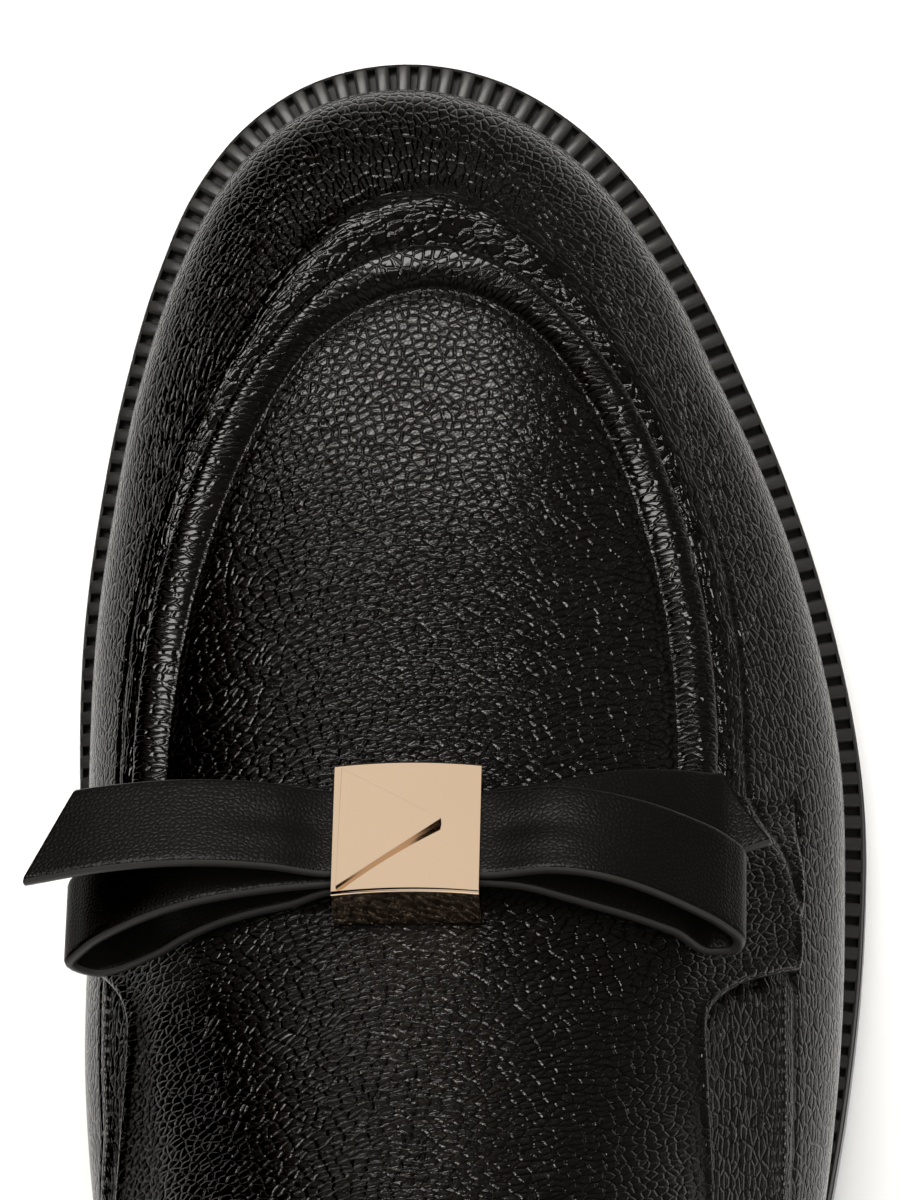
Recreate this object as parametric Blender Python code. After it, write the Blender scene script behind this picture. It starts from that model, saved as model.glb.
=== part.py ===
"""Bow loafer for the right foot: a moccasin-toe slip-on on a ribbed rubber sole.

Shoe frame: x to the outer (lateral) side, station from the back of the heel towards the toe, z up
from the floor. The root empty moves this frame so that the shoe's box is centred on the origin.
"""

import math
from collections import namedtuple

import bmesh
import bpy
import numpy as np
from mathutils import Vector
from mathutils.bvhtree import BVHTree

MM = 0.001

# Overall sizes
SOLE_LENGTH = 266 * MM
FRAME_SHIFT = (0.5 * MM, -SOLE_LENGTH / 2, 0.0)
FIT_GAP = 0.3 * MM

# Sole
FOREFOOT_STACK = 16 * MM  # floor to the top of the welt under the ball
HEEL_LIFT = 16 * MM  # extra height of the heel seat over the ball
RAMP_FROM, RAMP_TO = 76 * MM, 168 * MM  # the waist ramps down between these stations
TOE_SPRING = 7 * MM
SPRING_FROM = 204 * MM
WELT_THICK = 7 * MM
RIB_PITCH = 2.95 * MM
RIB_DEPTH = 0.8 * MM
WELT_SLOPE = 1.5 * MM  # how far the welt's ribbed top falls from the upper to the outer edge
WELT_UNDER_UPPER = 5 * MM
LIP_PROUD = 0.5 * MM  # the outsole's smooth lip outside the ribs
OUTSOLE_EDGE_ROUND = 1.6 * MM
BREAST_STATION = 70 * MM
BREAST_HOLLOW = 5 * MM
HEEL_TAPER = 1.6 * MM
TREAD_DEPTH = 2.5 * MM
TREAD_WIDTH = 3.6 * MM
TREAD_PITCH = 11.5 * MM
TREAD_SPAN = 120 * MM
TREAD_FROM, TREAD_TO = 152 * MM, 250 * MM
HEEL_TREAD_FROM, HEEL_TREAD_TO = 14 * MM, 60 * MM
INSOLE_THICK = 2.8 * MM
INSOLE_MARGIN = 1.1 * MM

# Upper
UPPER_WALL = 1.8 * MM
HEEL_AXIS = 42 * MM  # the back of the upper fans out about this station
TOE_AXIS = 225 * MM  # and the toe about this one
THROAT_STATION = 140 * MM  # front of the opening, under the tongue
APRON_CENTRE_STATION = 170 * MM
APRON_CENTRE_X = -3.5 * MM
APRON_HALF_WIDTH = 32.9 * MM
APRON_LENGTH = 66.3 * MM

# Saddle with its tongue
SADDLE_THICK = 1.7 * MM
SADDLE_GAP = 0.4 * MM  # to the upper below it
SADDLE_FRONT = 168 * MM
TONGUE_END = 95 * MM
TONGUE_HALF_WIDTH = 34 * MM
TONGUE_CORNER = 16 * MM
WING_REAR_FROM, WING_REAR_TO = 136 * MM, 146 * MM
WING_CORNER = 2.4  # over 1 rounds the inner corner between wing and tongue
WING_EDGE_RISE = math.radians(25)  # where the wings stop on the side walls

# Bow
BOW_X = -4.4 * MM
BOW_STATION = 156.2 * MM
RIBBON_WIDTH = 12 * MM
RIBBON_THICK = 2.2 * MM
RIBBON_STEPS = 24
KNOT_LAYER = 1.5 * MM  # ribbon thickness where the knot squeezes it
SQUEEZE_RUN = 8 * MM  # and the way over which it regains its full thickness
KNOT_WIDTH = 17.6 * MM
KNOT_LENGTH = 18.6 * MM
KNOT_WALL = 0.8 * MM
KNOT_CROWN = 0.8 * MM
KNOT_CHAMFER = 0.7 * MM

# Plan of the outsole and the welt shown beside the upper, in millimetres
Edge = namedtuple("Edge", "station medial lateral medial_welt lateral_welt")
OUTLINE = [
    Edge(3.0, -13.5, 14.5, 2.8, 2.8),
    Edge(11.0, -24.6, 25.6, 2.8, 2.8),
    Edge(24.0, -31.8, 32.8, 2.8, 2.8),
    Edge(45.0, -34.6, 36.0, 2.6, 3.0),
    Edge(72.0, -36.2, 37.8, 2.4, 3.4),
    Edge(97.0, -39.6, 40.8, 2.4, 3.8),
    Edge(116.0, -43.0, 43.7, 2.5, 4.2),
    Edge(135.0, -45.8, 46.8, 2.6, 4.4),
    Edge(155.0, -47.8, 48.8, 2.8, 4.5),
    Edge(175.0, -49.0, 48.9, 2.9, 4.5),
    Edge(195.0, -48.6, 45.4, 3.0, 4.5),
    Edge(211.0, -46.6, 40.6, 3.2, 4.4),
    Edge(226.0, -43.6, 34.6, 3.4, 4.4),
    Edge(240.0, -39.4, 27.9, 3.8, 4.4),
    Edge(251.0, -34.3, 20.9, 4.2, 4.4),
    Edge(258.5, -28.1, 13.3, 4.4, 4.4),
    Edge(263.5, -20.3, 4.8, 4.4, 4.4),
]
HEEL_TIP_X, TOE_TIP_X = 0.5, -7.5

# Ridge line of the last: its side offset, height, section fullness and how far the walls bulge
Ridge = namedtuple("Ridge", "station x height fullness medial_bulge lateral_bulge")
RIDGE = [
    Ridge(0.0, 0.6, 121.0, 2.2, 2.2, 2.2),
    Ridge(42.0, 0.6, 118.5, 2.2, 2.2, 2.2),
    Ridge(70.0, 0.2, 112.0, 2.25, 2.2, 1.6),
    Ridge(95.0, -0.8, 101.0, 2.3, 2.3, 1.0),
    Ridge(115.0, -1.8, 90.5, 2.3, 2.3, 0.7),
    Ridge(135.0, -2.8, 80.0, 2.35, 1.9, 0.5),
    Ridge(157.0, -3.6, 69.5, 2.4, 1.2, 0.5),
    Ridge(185.0, -4.2, 58.6, 2.4, 0.8, 0.6),
    Ridge(205.0, -4.6, 52.2, 2.38, 0.6, 0.6),
    Ridge(225.0, -4.8, 46.8, 2.35, 0.6, 0.6),
    Ridge(236.0, -4.8, 44.0, 2.3, 0.6, 0.6),
    Ridge(250.0, -4.8, 40.2, 2.25, 0.6, 0.6),
    Ridge(266.0, -4.8, 34.0, 2.25, 0.6, 0.6),
]

# Height of the collar edge above the floor
Collar = namedtuple("Collar", "station height")
COLLAR = [
    Collar(-5.0, 89.0),
    Collar(12.0, 87.5),
    Collar(35.0, 82.0),
    Collar(60.0, 75.5),
    Collar(85.0, 72.0),
    Collar(105.0, 74.0),
    Collar(122.0, 79.0),
    Collar(140.0, 77.6),
]

# Relief across the apron seam: distance outwards from the piping, and height over the last
Seam = namedtuple("Seam", "outwards lift")
SEAM = [
    Seam(6.5, 0.5),
    Seam(3.1, -0.7),
    Seam(1.7, 1.3),
    Seam(0.0, 2.1),
    Seam(-1.7, 1.3),
    Seam(-3.1, -0.5),
]


def along(table, column, station):
    """Smooth value of one column of a table, in metres, at a station in metres."""
    knots = np.array([row.station for row in table])
    values = np.array([getattr(row, column) for row in table])
    slopes = np.gradient(values, knots)
    at = np.clip(np.asarray(station, float) / MM, knots[0], knots[-1])
    i = np.clip(np.searchsorted(knots, at) - 1, 0, len(knots) - 2)
    step = knots[i + 1] - knots[i]
    t = (at - knots[i]) / step
    start = values[i] * (1 + 2 * t) * (1 - t) ** 2 + slopes[i] * step * t * (1 - t) ** 2
    end = values[i + 1] * (3 - 2 * t) * t**2 + slopes[i + 1] * step * (t - 1) * t**2
    return (start + end) * MM


def ease(value, low, high):
    t = np.clip((np.asarray(value, float) - low) / (high - low), 0, 1)
    return t * t * (3 - 2 * t)


def welt_top(station):
    """Height of the welt's top, which the feather line of the upper follows."""
    ramp = HEEL_LIFT * (1 - ease(station, RAMP_FROM, RAMP_TO))
    past = np.clip((np.asarray(station) - SPRING_FROM) / (SOLE_LENGTH - SPRING_FROM), 0, None)
    return FOREFOOT_STACK + ramp + TOE_SPRING * past**2


def curve_through(points, count, closed):
    """Cubic curve through points, sampled evenly by chord length."""
    points = np.asarray(points, float)
    if closed:
        points = np.vstack([points[-2:], points, points[:3]])
    knots = np.concatenate([[0], np.cumsum(np.linalg.norm(np.diff(points, axis=0), axis=1))])
    slopes = np.gradient(points, knots, axis=0)
    ends = (knots[2], knots[-3]) if closed else (knots[0], knots[-1])
    at = np.linspace(*ends, count, endpoint=not closed)
    i = np.clip(np.searchsorted(knots, at, side="right") - 1, 0, len(knots) - 2)
    step = (knots[i + 1] - knots[i])[:, None]
    t = (at - knots[i])[:, None] / step
    start = points[i] * (1 + 2 * t) * (1 - t) ** 2 + slopes[i] * step * t * (1 - t) ** 2
    end = points[i + 1] * (3 - 2 * t) * t**2 + slopes[i + 1] * step * (t - 1) * t**2
    return start + end


def sole_plan(count):
    """Closed plan of the outsole's edge, counter-clockwise from the back of the heel."""
    lateral = [(row.lateral, row.station) for row in OUTLINE]
    medial = [(row.medial, row.station) for row in reversed(OUTLINE)]
    toe = [(TOE_TIP_X, SOLE_LENGTH / MM)]
    corners = [(HEEL_TIP_X, 0.0), *lateral, *toe, *medial]
    return curve_through(corners, count, closed=True) * MM


def inset(plan, width):
    """The plan moved inwards by a width, which may differ from point to point."""
    ahead = np.roll(plan, -1, axis=0) - np.roll(plan, 1, axis=0)
    outward = np.stack([ahead[:, 1], -ahead[:, 0]], axis=1)
    outward /= np.linalg.norm(outward, axis=1)[:, None]
    return plan - outward * np.broadcast_to(width, len(plan))[:, None]


def welt_width(plan):
    medial = along(OUTLINE, "medial_welt", plan[:, 1])
    lateral = along(OUTLINE, "lateral_welt", plan[:, 1])
    middle = along(RIDGE, "x", plan[:, 1])
    return np.where(plan[:, 0] < middle, medial, lateral)


PLAN_SAMPLES = 1440
SOLE_PLAN = sole_plan(PLAN_SAMPLES)
FEATHER = inset(SOLE_PLAN, welt_width(SOLE_PLAN))


def fan_reach(axis_station):
    """Distance from a fan's axis to the feather line at every angle round it."""
    axis = np.array([along(RIDGE, "x", axis_station), axis_station])
    away = FEATHER - axis
    angle = np.unwrap(np.arctan2(away[:, 1], away[:, 0]))
    order = np.argsort(angle % math.tau)
    return (angle % math.tau)[order], np.linalg.norm(away, axis=1)[order]


TOE_FAN = fan_reach(TOE_AXIS)
HEEL_FAN = fan_reach(HEEL_AXIS)
LATERAL_HALF = FEATHER[: PLAN_SAMPLES // 2]
MEDIAL_HALF = FEATHER[PLAN_SAMPLES // 2 :][::-1]


def side_columns(stations, medial):
    """(origin station, angle) of the columns that run straight out to one side."""
    return [(station, math.pi if medial else 0.0) for station in stations]


def column_reach(station, angle):
    """Plan distance from a column's origin on the ridge line to the feather line."""
    if station >= TOE_AXIS - 1e-9 and 0 < angle < math.pi:
        return np.interp(angle, *TOE_FAN)
    if station <= HEEL_AXIS + 1e-9 and angle > math.pi:
        return np.interp(angle, *HEEL_FAN)
    half = MEDIAL_HALF if angle > 1 else LATERAL_HALF
    edge = np.interp(station, np.maximum.accumulate(half[:, 1]), half[:, 0])
    return abs(edge - along(RIDGE, "x", station))


def last_points(station, angle, rise):
    """Points of the last's surface on one column, for rises from 0 at the feather line to a quarter turn."""
    rise = np.asarray(rise, float)
    reach = column_reach(station, angle)
    power = 2 / (along(RIDGE, "fullness", station) / MM)
    inward = np.cos(rise).clip(0) ** power
    medial_share = (1 - math.cos(angle)) / 2
    bulge = (1 - medial_share) * along(RIDGE, "lateral_bulge", station)
    bulge = bulge + medial_share * along(RIDGE, "medial_bulge", station)
    away = reach * inward + bulge * np.sin(2 * rise).clip(0) ** 2 * inward
    x = along(RIDGE, "x", station) + away * math.cos(angle)
    y = station + away * math.sin(angle)
    foot_station = station + reach * math.sin(angle)
    foot = welt_top(foot_station) + FIT_GAP
    z = foot + (along(RIDGE, "height", y) - foot) * np.sin(rise) ** power
    return np.stack([x, y, z], axis=-1)


def last_normals(station, angle, rise):
    """Outward normals of the last at the same points, by small differences."""
    nudge = 0.5 * MM
    turn = math.radians(0.6)
    if 0 < angle < math.pi or angle > math.pi:
        across = last_points(station, angle + turn, rise) - last_points(station, angle - turn, rise)
    else:
        sign = 1 if angle < 1 else -1
        across = last_points(station + nudge, angle, rise) - last_points(station - nudge, angle, rise)
        across = across * sign
    low = np.clip(np.asarray(rise) - 0.01, 0.002, None)
    high = np.clip(np.asarray(rise) + 0.01, None, math.pi / 2 - 1e-4)
    upward = last_points(station, angle, high) - last_points(station, angle, low)
    normal = np.cross(across, upward)
    slope = (along(RIDGE, "height", station + nudge) - along(RIDGE, "height", station - nudge)) / (2 * nudge)
    crest = np.array([0.0, -slope, 1.0]) / math.hypot(1, slope)
    weight = ease(rise, math.radians(80), math.radians(89))[:, None]
    normal = normal / np.maximum(np.linalg.norm(normal, axis=1), 1e-12)[:, None]
    normal = normal * (1 - weight) + crest * weight
    return normal / np.linalg.norm(normal, axis=1)[:, None]


def rise_at_reach(station, angle, away):
    """Rise at which a column is this far, in plan, from the ridge line."""
    power = 2 / (along(RIDGE, "fullness", station) / MM)
    share = min(1.0, away / column_reach(station, angle))
    return math.acos(share ** (1 / power))


def collar_rise(station, angle):
    """Rise at which a column meets the collar edge."""
    rises = np.linspace(0, math.pi / 2, 400)
    points = last_points(station, angle, rises)
    over = points[:, 2] - along(COLLAR, "height", points[:, 1])
    return float(np.interp(0.0, over, rises))


def apron_reach(station, angle):
    """Plan distance from a column's origin to the apron's elliptical seam line."""
    start = np.array([along(RIDGE, "x", station), station])
    if station <= APRON_CENTRE_STATION:
        return APRON_HALF_WIDTH + math.cos(angle) * (APRON_CENTRE_X - start[0])
    size = np.array([APRON_HALF_WIDTH, APRON_LENGTH])
    from_centre = (start - (APRON_CENTRE_X, APRON_CENTRE_STATION)) / size
    heading = np.array([math.cos(angle), math.sin(angle)]) / size
    a, b, c = heading @ heading, from_centre @ heading, from_centre @ from_centre - 1
    return (-b + math.sqrt(b * b - a * c)) / a


def new_mesh_object(name, bm, material):
    bmesh.ops.remove_doubles(bm, verts=bm.verts, dist=1e-6)
    bmesh.ops.dissolve_degenerate(bm, edges=bm.edges, dist=1e-6)
    bmesh.ops.recalc_face_normals(bm, faces=bm.faces)
    mesh = bpy.data.meshes.new(name)
    bm.to_mesh(mesh)
    bm.free()
    mesh.shade_smooth()
    mesh.set_sharp_from_angle(angle=math.radians(40))
    mesh.materials.append(material)
    obj = bpy.data.objects.new(name, mesh)
    obj.parent = ROOT
    bpy.context.scene.collection.objects.link(obj)
    return obj


def add_ring(bm, plan, heights):
    heights = np.broadcast_to(heights, len(plan))
    return [bm.verts.new((x, y, z)) for (x, y), z in zip(plan, heights)]


def stitch(bm, first, second, closed):
    """Triangles between two rows of vertices that run the same way, kept in step by their share of the way."""
    i = j = 0
    last_i = len(first) if closed else len(first) - 1
    last_j = len(second) if closed else len(second) - 1
    while i < last_i or j < last_j:
        a, b = first[i % len(first)], second[j % len(second)]
        if j == last_j or (i < last_i and (i + 1) / last_i <= (j + 1) / last_j):
            i += 1
            bm.faces.new((a, first[i % len(first)], b))
        else:
            j += 1
            bm.faces.new((a, second[j % len(second)], b))


def fill_across(bm, ring):
    """Closes a ring that starts at the heel by rungs between its two sides at equal stations."""
    half = len(ring) // 2
    for i in range(half):
        near = [ring[i], ring[i + 1]]
        far = [ring[-i - 1], ring[-i % len(ring)]]
        corners = list(dict.fromkeys(near + far))
        if len(corners) > 2:
            bm.faces.new(corners)


def plan_by_station(plan, count):
    """Samples of a closed plan whose two sides stand at equal stations, heel tip first."""
    half = count // 2
    angle = np.linspace(0, math.pi, half + 1)
    tip, end = plan[:, 1].argmin(), plan[:, 1].argmax()
    plan = np.roll(plan, -tip, axis=0)
    end = (end - tip) % len(plan)
    one, other = plan[: end + 1], np.vstack([plan[end:], plan[:1]])[::-1]
    station = plan[0, 1] + (plan[end, 1] - plan[0, 1]) * (1 - np.cos(angle)) / 2
    sides = []
    for side in (one, other):
        level = np.maximum.accumulate(side[:, 1])
        sides.append(np.stack([np.interp(station, level, side[:, 0]), station], axis=1))
    return np.vstack([sides[0], sides[1][-2:0:-1]])


def quad_strip(bm, first, second, closed):
    count = len(first) if closed else len(first) - 1
    for i in range(count):
        j = (i + 1) % len(first)
        bm.faces.new((first[i], first[j], second[j], second[i]))


def material(name, colour, roughness, metallic=0.0):
    made = bpy.data.materials.new(name)
    made.use_nodes = True
    shader = made.node_tree.nodes["Principled BSDF"]
    shader.inputs["Base Color"].default_value = (*colour, 1.0)
    shader.inputs["Roughness"].default_value = roughness
    shader.inputs["Metallic"].default_value = metallic
    return made


def cut(obj, cutter):
    cutter.hide_render = True
    cutter.display_type = "WIRE"
    cutter.parent = ROOT
    modifier = obj.modifiers.new("cut_" + cutter.name, "BOOLEAN")
    modifier.object = cutter
    modifier.operation = "DIFFERENCE"


def tread_cutter(name, stations, floor_at):
    """Bars across the tread, each sheared to the slope of the tread that it cuts."""
    bm = bmesh.new()
    for station in stations:
        floor = floor_at(station)
        slope = (floor_at(station + MM) - floor_at(station - MM)) / (2 * MM)
        for vert in bmesh.ops.create_cube(bm, size=1.0)["verts"]:
            x, y, z = vert.co
            ahead = y * TREAD_WIDTH
            vert.co = (x * TREAD_SPAN, station + ahead, floor + ahead * slope + z * 2 * TREAD_DEPTH)
    mesh = bpy.data.meshes.new(name)
    bm.to_mesh(mesh)
    bm.free()
    cutter = bpy.data.objects.new(name, mesh)
    bpy.context.scene.collection.objects.link(cutter)
    return cutter


def build_outsole(rubber):
    """Outsole: a lip all round, a plateau inside the welt, the waist's ramp and the toe spring."""
    bm = bmesh.new()
    columns = 88
    lip = plan_by_station(SOLE_PLAN, columns)
    tread = plan_by_station(inset(SOLE_PLAN, OUTSOLE_EDGE_ROUND), columns)
    plateau = plan_by_station(inset(FEATHER, WELT_UNDER_UPPER + FIT_GAP), columns)
    under = welt_top(lip[:, 1]) - FOREFOOT_STACK
    shelf = welt_top(lip[:, 1]) - WELT_THICK - FIT_GAP
    rings = [
        add_ring(bm, tread, welt_top(tread[:, 1]) - FOREFOOT_STACK),
        add_ring(bm, lip, under + OUTSOLE_EDGE_ROUND),
        add_ring(bm, lip, shelf),
        add_ring(bm, plateau, welt_top(plateau[:, 1]) - WELT_THICK - FIT_GAP),
        add_ring(bm, plateau, welt_top(plateau[:, 1])),
    ]
    for lower, upper in zip(rings, rings[1:]):
        quad_strip(bm, lower, upper, closed=True)
    fill_across(bm, rings[0])
    fill_across(bm, rings[-1])
    outsole = new_mesh_object("outsole", bm, rubber)
    bars = np.arange(TREAD_FROM, TREAD_TO, TREAD_PITCH)
    cut(outsole, tread_cutter("tread_bars", bars, lambda station: welt_top(station) - FOREFOOT_STACK))
    return outsole


def heel_line(plan, breast):
    """Closed line of the heel's plan: round the back between two breast corners, then the hollow breast."""
    turn = np.linspace(0, math.pi / 2, 17)
    start = plan[:, 1].min()
    station = start + (breast - start) * (1 - np.cos(turn))
    sides = []
    for side in (plan[: len(plan) // 2], plan[len(plan) // 2 :][::-1]):
        level = np.maximum.accumulate(side[:, 1])
        sides.append(np.stack([np.interp(station, level, side[:, 0]), station], axis=1))
    lateral, medial = sides
    middle = (lateral[-1] + medial[-1]) / 2
    half = (lateral[-1] - medial[-1]) / 2
    hollow_turn = np.linspace(0, math.pi, 9)[1:-1, None]
    hollow = middle + half * np.cos(hollow_turn) - np.array([[0, BREAST_HOLLOW]]) * np.sin(hollow_turn)
    return np.vstack([lateral, hollow, medial[:0:-1]])


def build_heel(rubber):
    """Heel block under the seat, with a hollow breast and a slight taper to the floor."""
    bm = bmesh.new()
    levels = (
        (LIP_PROUD + HEEL_TAPER + OUTSOLE_EDGE_ROUND, 0.0),
        (LIP_PROUD + HEEL_TAPER, OUTSOLE_EDGE_ROUND),
        (LIP_PROUD, HEEL_LIFT - FIT_GAP),
    )
    rings = []
    for margin, height in levels:
        line = heel_line(inset(SOLE_PLAN, margin), BREAST_STATION - margin)
        rings.append(add_ring(bm, line, height))
    for lower, upper in zip(rings, rings[1:]):
        quad_strip(bm, lower, upper, closed=True)
    bm.faces.new(rings[0])
    bm.faces.new(rings[-1])
    heel = new_mesh_object("heel", bm, rubber)
    bars = np.arange(HEEL_TREAD_FROM, HEEL_TREAD_TO, TREAD_PITCH)
    cut(heel, tread_cutter("heel_tread_bars", bars, lambda station: 0.0))
    return heel


def build_welt(rubber):
    """Welt: a rubber strip round the shoe, its sloping top and its side ribbed all the way."""
    bm = bmesh.new()
    outer = inset(SOLE_PLAN, LIP_PROUD)
    lengths = np.linalg.norm(np.roll(outer, -1, axis=0) - outer, axis=1)
    way = np.concatenate([[0], np.cumsum(lengths)])
    ribs = round(way[-1] / RIB_PITCH)
    bite = np.tile([0.0, RIB_DEPTH], ribs)
    at = np.arange(2 * ribs) / (2 * ribs) * way[-1]
    share = np.interp(at, way, np.arange(len(outer) + 1)) % len(outer)
    wrapped = np.arange(len(outer) + 1)

    def sample(plan, places):
        closed = np.vstack([plan, plan[:1]])
        return np.stack([np.interp(places, wrapped, closed[:, k]) for k in (0, 1)], axis=1)

    ribbed = inset(sample(outer, share), bite)
    foot = sample(FEATHER, share[::2])
    inner = sample(inset(FEATHER, WELT_UNDER_UPPER), share[::4])
    top = welt_top(ribbed[:, 1]) - WELT_SLOPE
    rings = [
        add_ring(bm, inner, welt_top(inner[:, 1]) - WELT_THICK),
        add_ring(bm, inner, welt_top(inner[:, 1])),
        add_ring(bm, foot, welt_top(foot[:, 1])),
        add_ring(bm, ribbed, top - bite * 0.7),
        add_ring(bm, ribbed, welt_top(ribbed[:, 1]) - WELT_THICK),
    ]
    for first, second in zip(rings, rings[1:] + rings[:1]):
        stitch(bm, first, second, closed=True)
    return new_mesh_object("welt", bm, rubber)


def build_insole(leather):
    bm = bmesh.new()
    plan = plan_by_station(inset(FEATHER, UPPER_WALL + INSOLE_MARGIN), 64)
    base = welt_top(plan[:, 1]) + FIT_GAP
    low = add_ring(bm, plan, base)
    high = add_ring(bm, plan, base + INSOLE_THICK)
    quad_strip(bm, low, high, closed=True)
    fill_across(bm, low)
    fill_across(bm, high)
    return new_mesh_object("insole", bm, leather)


SIDE_STATIONS = np.concatenate([
    np.linspace(HEEL_AXIS, 120 * MM, 10)[:-1],
    np.linspace(120 * MM, THROAT_STATION, 5)[:-1],
    np.linspace(THROAT_STATION, SADDLE_FRONT, 4)[:-1],
    np.linspace(SADDLE_FRONT, TOE_AXIS, 9),
])
FAN_TURNS = 17


def upper_columns():
    """Columns round the upper, counter-clockwise from the lateral side of the heel."""
    fan = np.linspace(0, math.pi, FAN_TURNS)[1:-1]
    columns = side_columns(SIDE_STATIONS, medial=False)
    columns += [(TOE_AXIS, turn) for turn in fan]
    columns += side_columns(SIDE_STATIONS[::-1], medial=True)
    columns += [(HEEL_AXIS, math.pi + turn) for turn in fan]
    return columns


def is_open(station):
    return station < THROAT_STATION - 1e-9


def profile_rises(station, angle, outwards, wall_rows, apron_rows):
    """Rises of a column's rows: up the wall, over the apron seam and on to the ridge line or collar."""
    top = collar_rise(station, angle) if is_open(station) else math.pi / 2
    fine = np.linspace(0, top, 400)
    steps = np.linalg.norm(np.diff(last_points(station, angle, fine), axis=0), axis=1)
    way = np.concatenate([[0], np.cumsum(steps)])
    rows = wall_rows + len(outwards) + apron_rows
    even = np.linspace(0, 1, rows)
    front = float(ease(station, THROAT_STATION, SADDLE_FRONT))
    shares = even
    if front > 0 and len(outwards):
        seam = rise_at_reach(station, angle, apron_reach(station, angle))
        seam_way = np.interp(seam, fine, way)
        crossing = (seam_way - np.array(outwards)) / way[-1]
        wall = np.linspace(0, crossing[0], wall_rows + 1)[:-1]
        apron = np.linspace(crossing[-1], 1, apron_rows + 1)[1:]
        shares = even * (1 - front) + np.concatenate([wall, crossing, apron]) * front
    return np.interp(shares * way[-1], way, fine)


def build_upper(leather):
    """Upper: one hollow shell, open at the collar and underneath, with the apron's piping in its wall."""
    bm = bmesh.new()
    columns = upper_columns()
    outwards = [row.outwards * MM for row in SEAM]
    wall_rows, apron_rows, inner_rows = 4, 3, 8
    outer, inner = [], []
    for station, angle in columns:
        rises = profile_rises(station, angle, outwards, wall_rows, apron_rows)
        points = last_points(station, angle, rises)
        lift = np.zeros(len(rises))
        piped = float(ease(station, SADDLE_FRONT, SADDLE_FRONT + 5 * MM))
        lift[wall_rows : wall_rows + len(SEAM)] = [row.lift * MM * piped for row in SEAM]
        points = points + last_normals(station, angle, rises) * lift[:, None]
        outer.append([bm.verts.new(p) for p in points])
        rises = profile_rises(station, angle, [], inner_rows, 0)
        points = last_points(station, angle, rises)
        back = points - last_normals(station, angle, rises) * UPPER_WALL
        back[0, 2] = points[0, 2]
        inner.append([bm.verts.new(p) for p in back])
    for shell in (outer, inner):
        for i in range(len(shell)):
            quad_strip(bm, shell[i], shell[(i + 1) % len(shell)], closed=False)
    for i in range(len(columns)):
        j = (i + 1) % len(columns)
        bm.faces.new((outer[i][0], outer[j][0], inner[j][0], inner[i][0]))
        if is_open(columns[i][0]) or is_open(columns[j][0]):
            bm.faces.new((outer[i][-1], outer[j][-1], inner[j][-1], inner[i][-1]))
    return new_mesh_object("upper", bm, leather)


def saddle_edge_rise(station, angle):
    """Rise of the saddle's side edge: the tongue's edge behind, the wings' ends in front."""
    centre = along(RIDGE, "x", station)
    half = TONGUE_HALF_WIDTH + math.cos(angle) * (APRON_CENTRE_X / 2 - centre / 2)
    end = TONGUE_END
    if station < end + TONGUE_CORNER:
        from_corner = (end + TONGUE_CORNER - station) / TONGUE_CORNER
        half = half - TONGUE_CORNER * (1 - math.sqrt(max(0.0, 1 - from_corner**2)))
    tongue = rise_at_reach(station, angle, half)
    wing = min(1.0, max(0.0, (station - WING_REAR_FROM) / (WING_REAR_TO - WING_REAR_FROM))) ** WING_CORNER
    return tongue * (1 - wing) + WING_EDGE_RISE * wing


def build_saddle(leather):
    """Saddle: wings over the side walls and a long tongue behind them, cut from the last's own form."""
    bm = bmesh.new()
    tip = TONGUE_END + TONGUE_CORNER * (1 - np.cos(np.linspace(0, math.pi / 2, 6)))
    stations = np.concatenate([
        tip[:-1],
        np.linspace(tip[-1], WING_REAR_FROM, 4)[:-1],
        np.linspace(WING_REAR_FROM, WING_REAR_TO, 7)[:-1],
        np.linspace(WING_REAR_TO, SADDLE_FRONT, 5),
    ])
    half_rows = 8
    inner, outer = [], []
    for station in stations:
        rows_in, rows_out = [], []
        for angle in (0.0, math.pi):
            edge = saddle_edge_rise(station, angle)
            rises = np.linspace(edge, math.pi / 2, half_rows)
            points = last_points(station, angle, rises)
            normals = last_normals(station, angle, rises)
            low = points + normals * SADDLE_GAP
            high = low + normals * SADDLE_THICK
            rows_in.append(low if angle == 0 else low[::-1][1:])
            rows_out.append(high if angle == 0 else high[::-1][1:])
        inner.append([bm.verts.new(p) for p in np.vstack(rows_in)])
        outer.append([bm.verts.new(p) for p in np.vstack(rows_out)])
    for shell in (inner, outer):
        for first, second in zip(shell, shell[1:]):
            quad_strip(bm, first, second, closed=False)
    for row in (0, -1):
        quad_strip(bm, inner[row], outer[row], closed=False)
    for end in (0, -1):
        quad_strip(bm, [r[end] for r in inner], [r[end] for r in outer], closed=False)
    return new_mesh_object("saddle", bm, leather)


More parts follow.
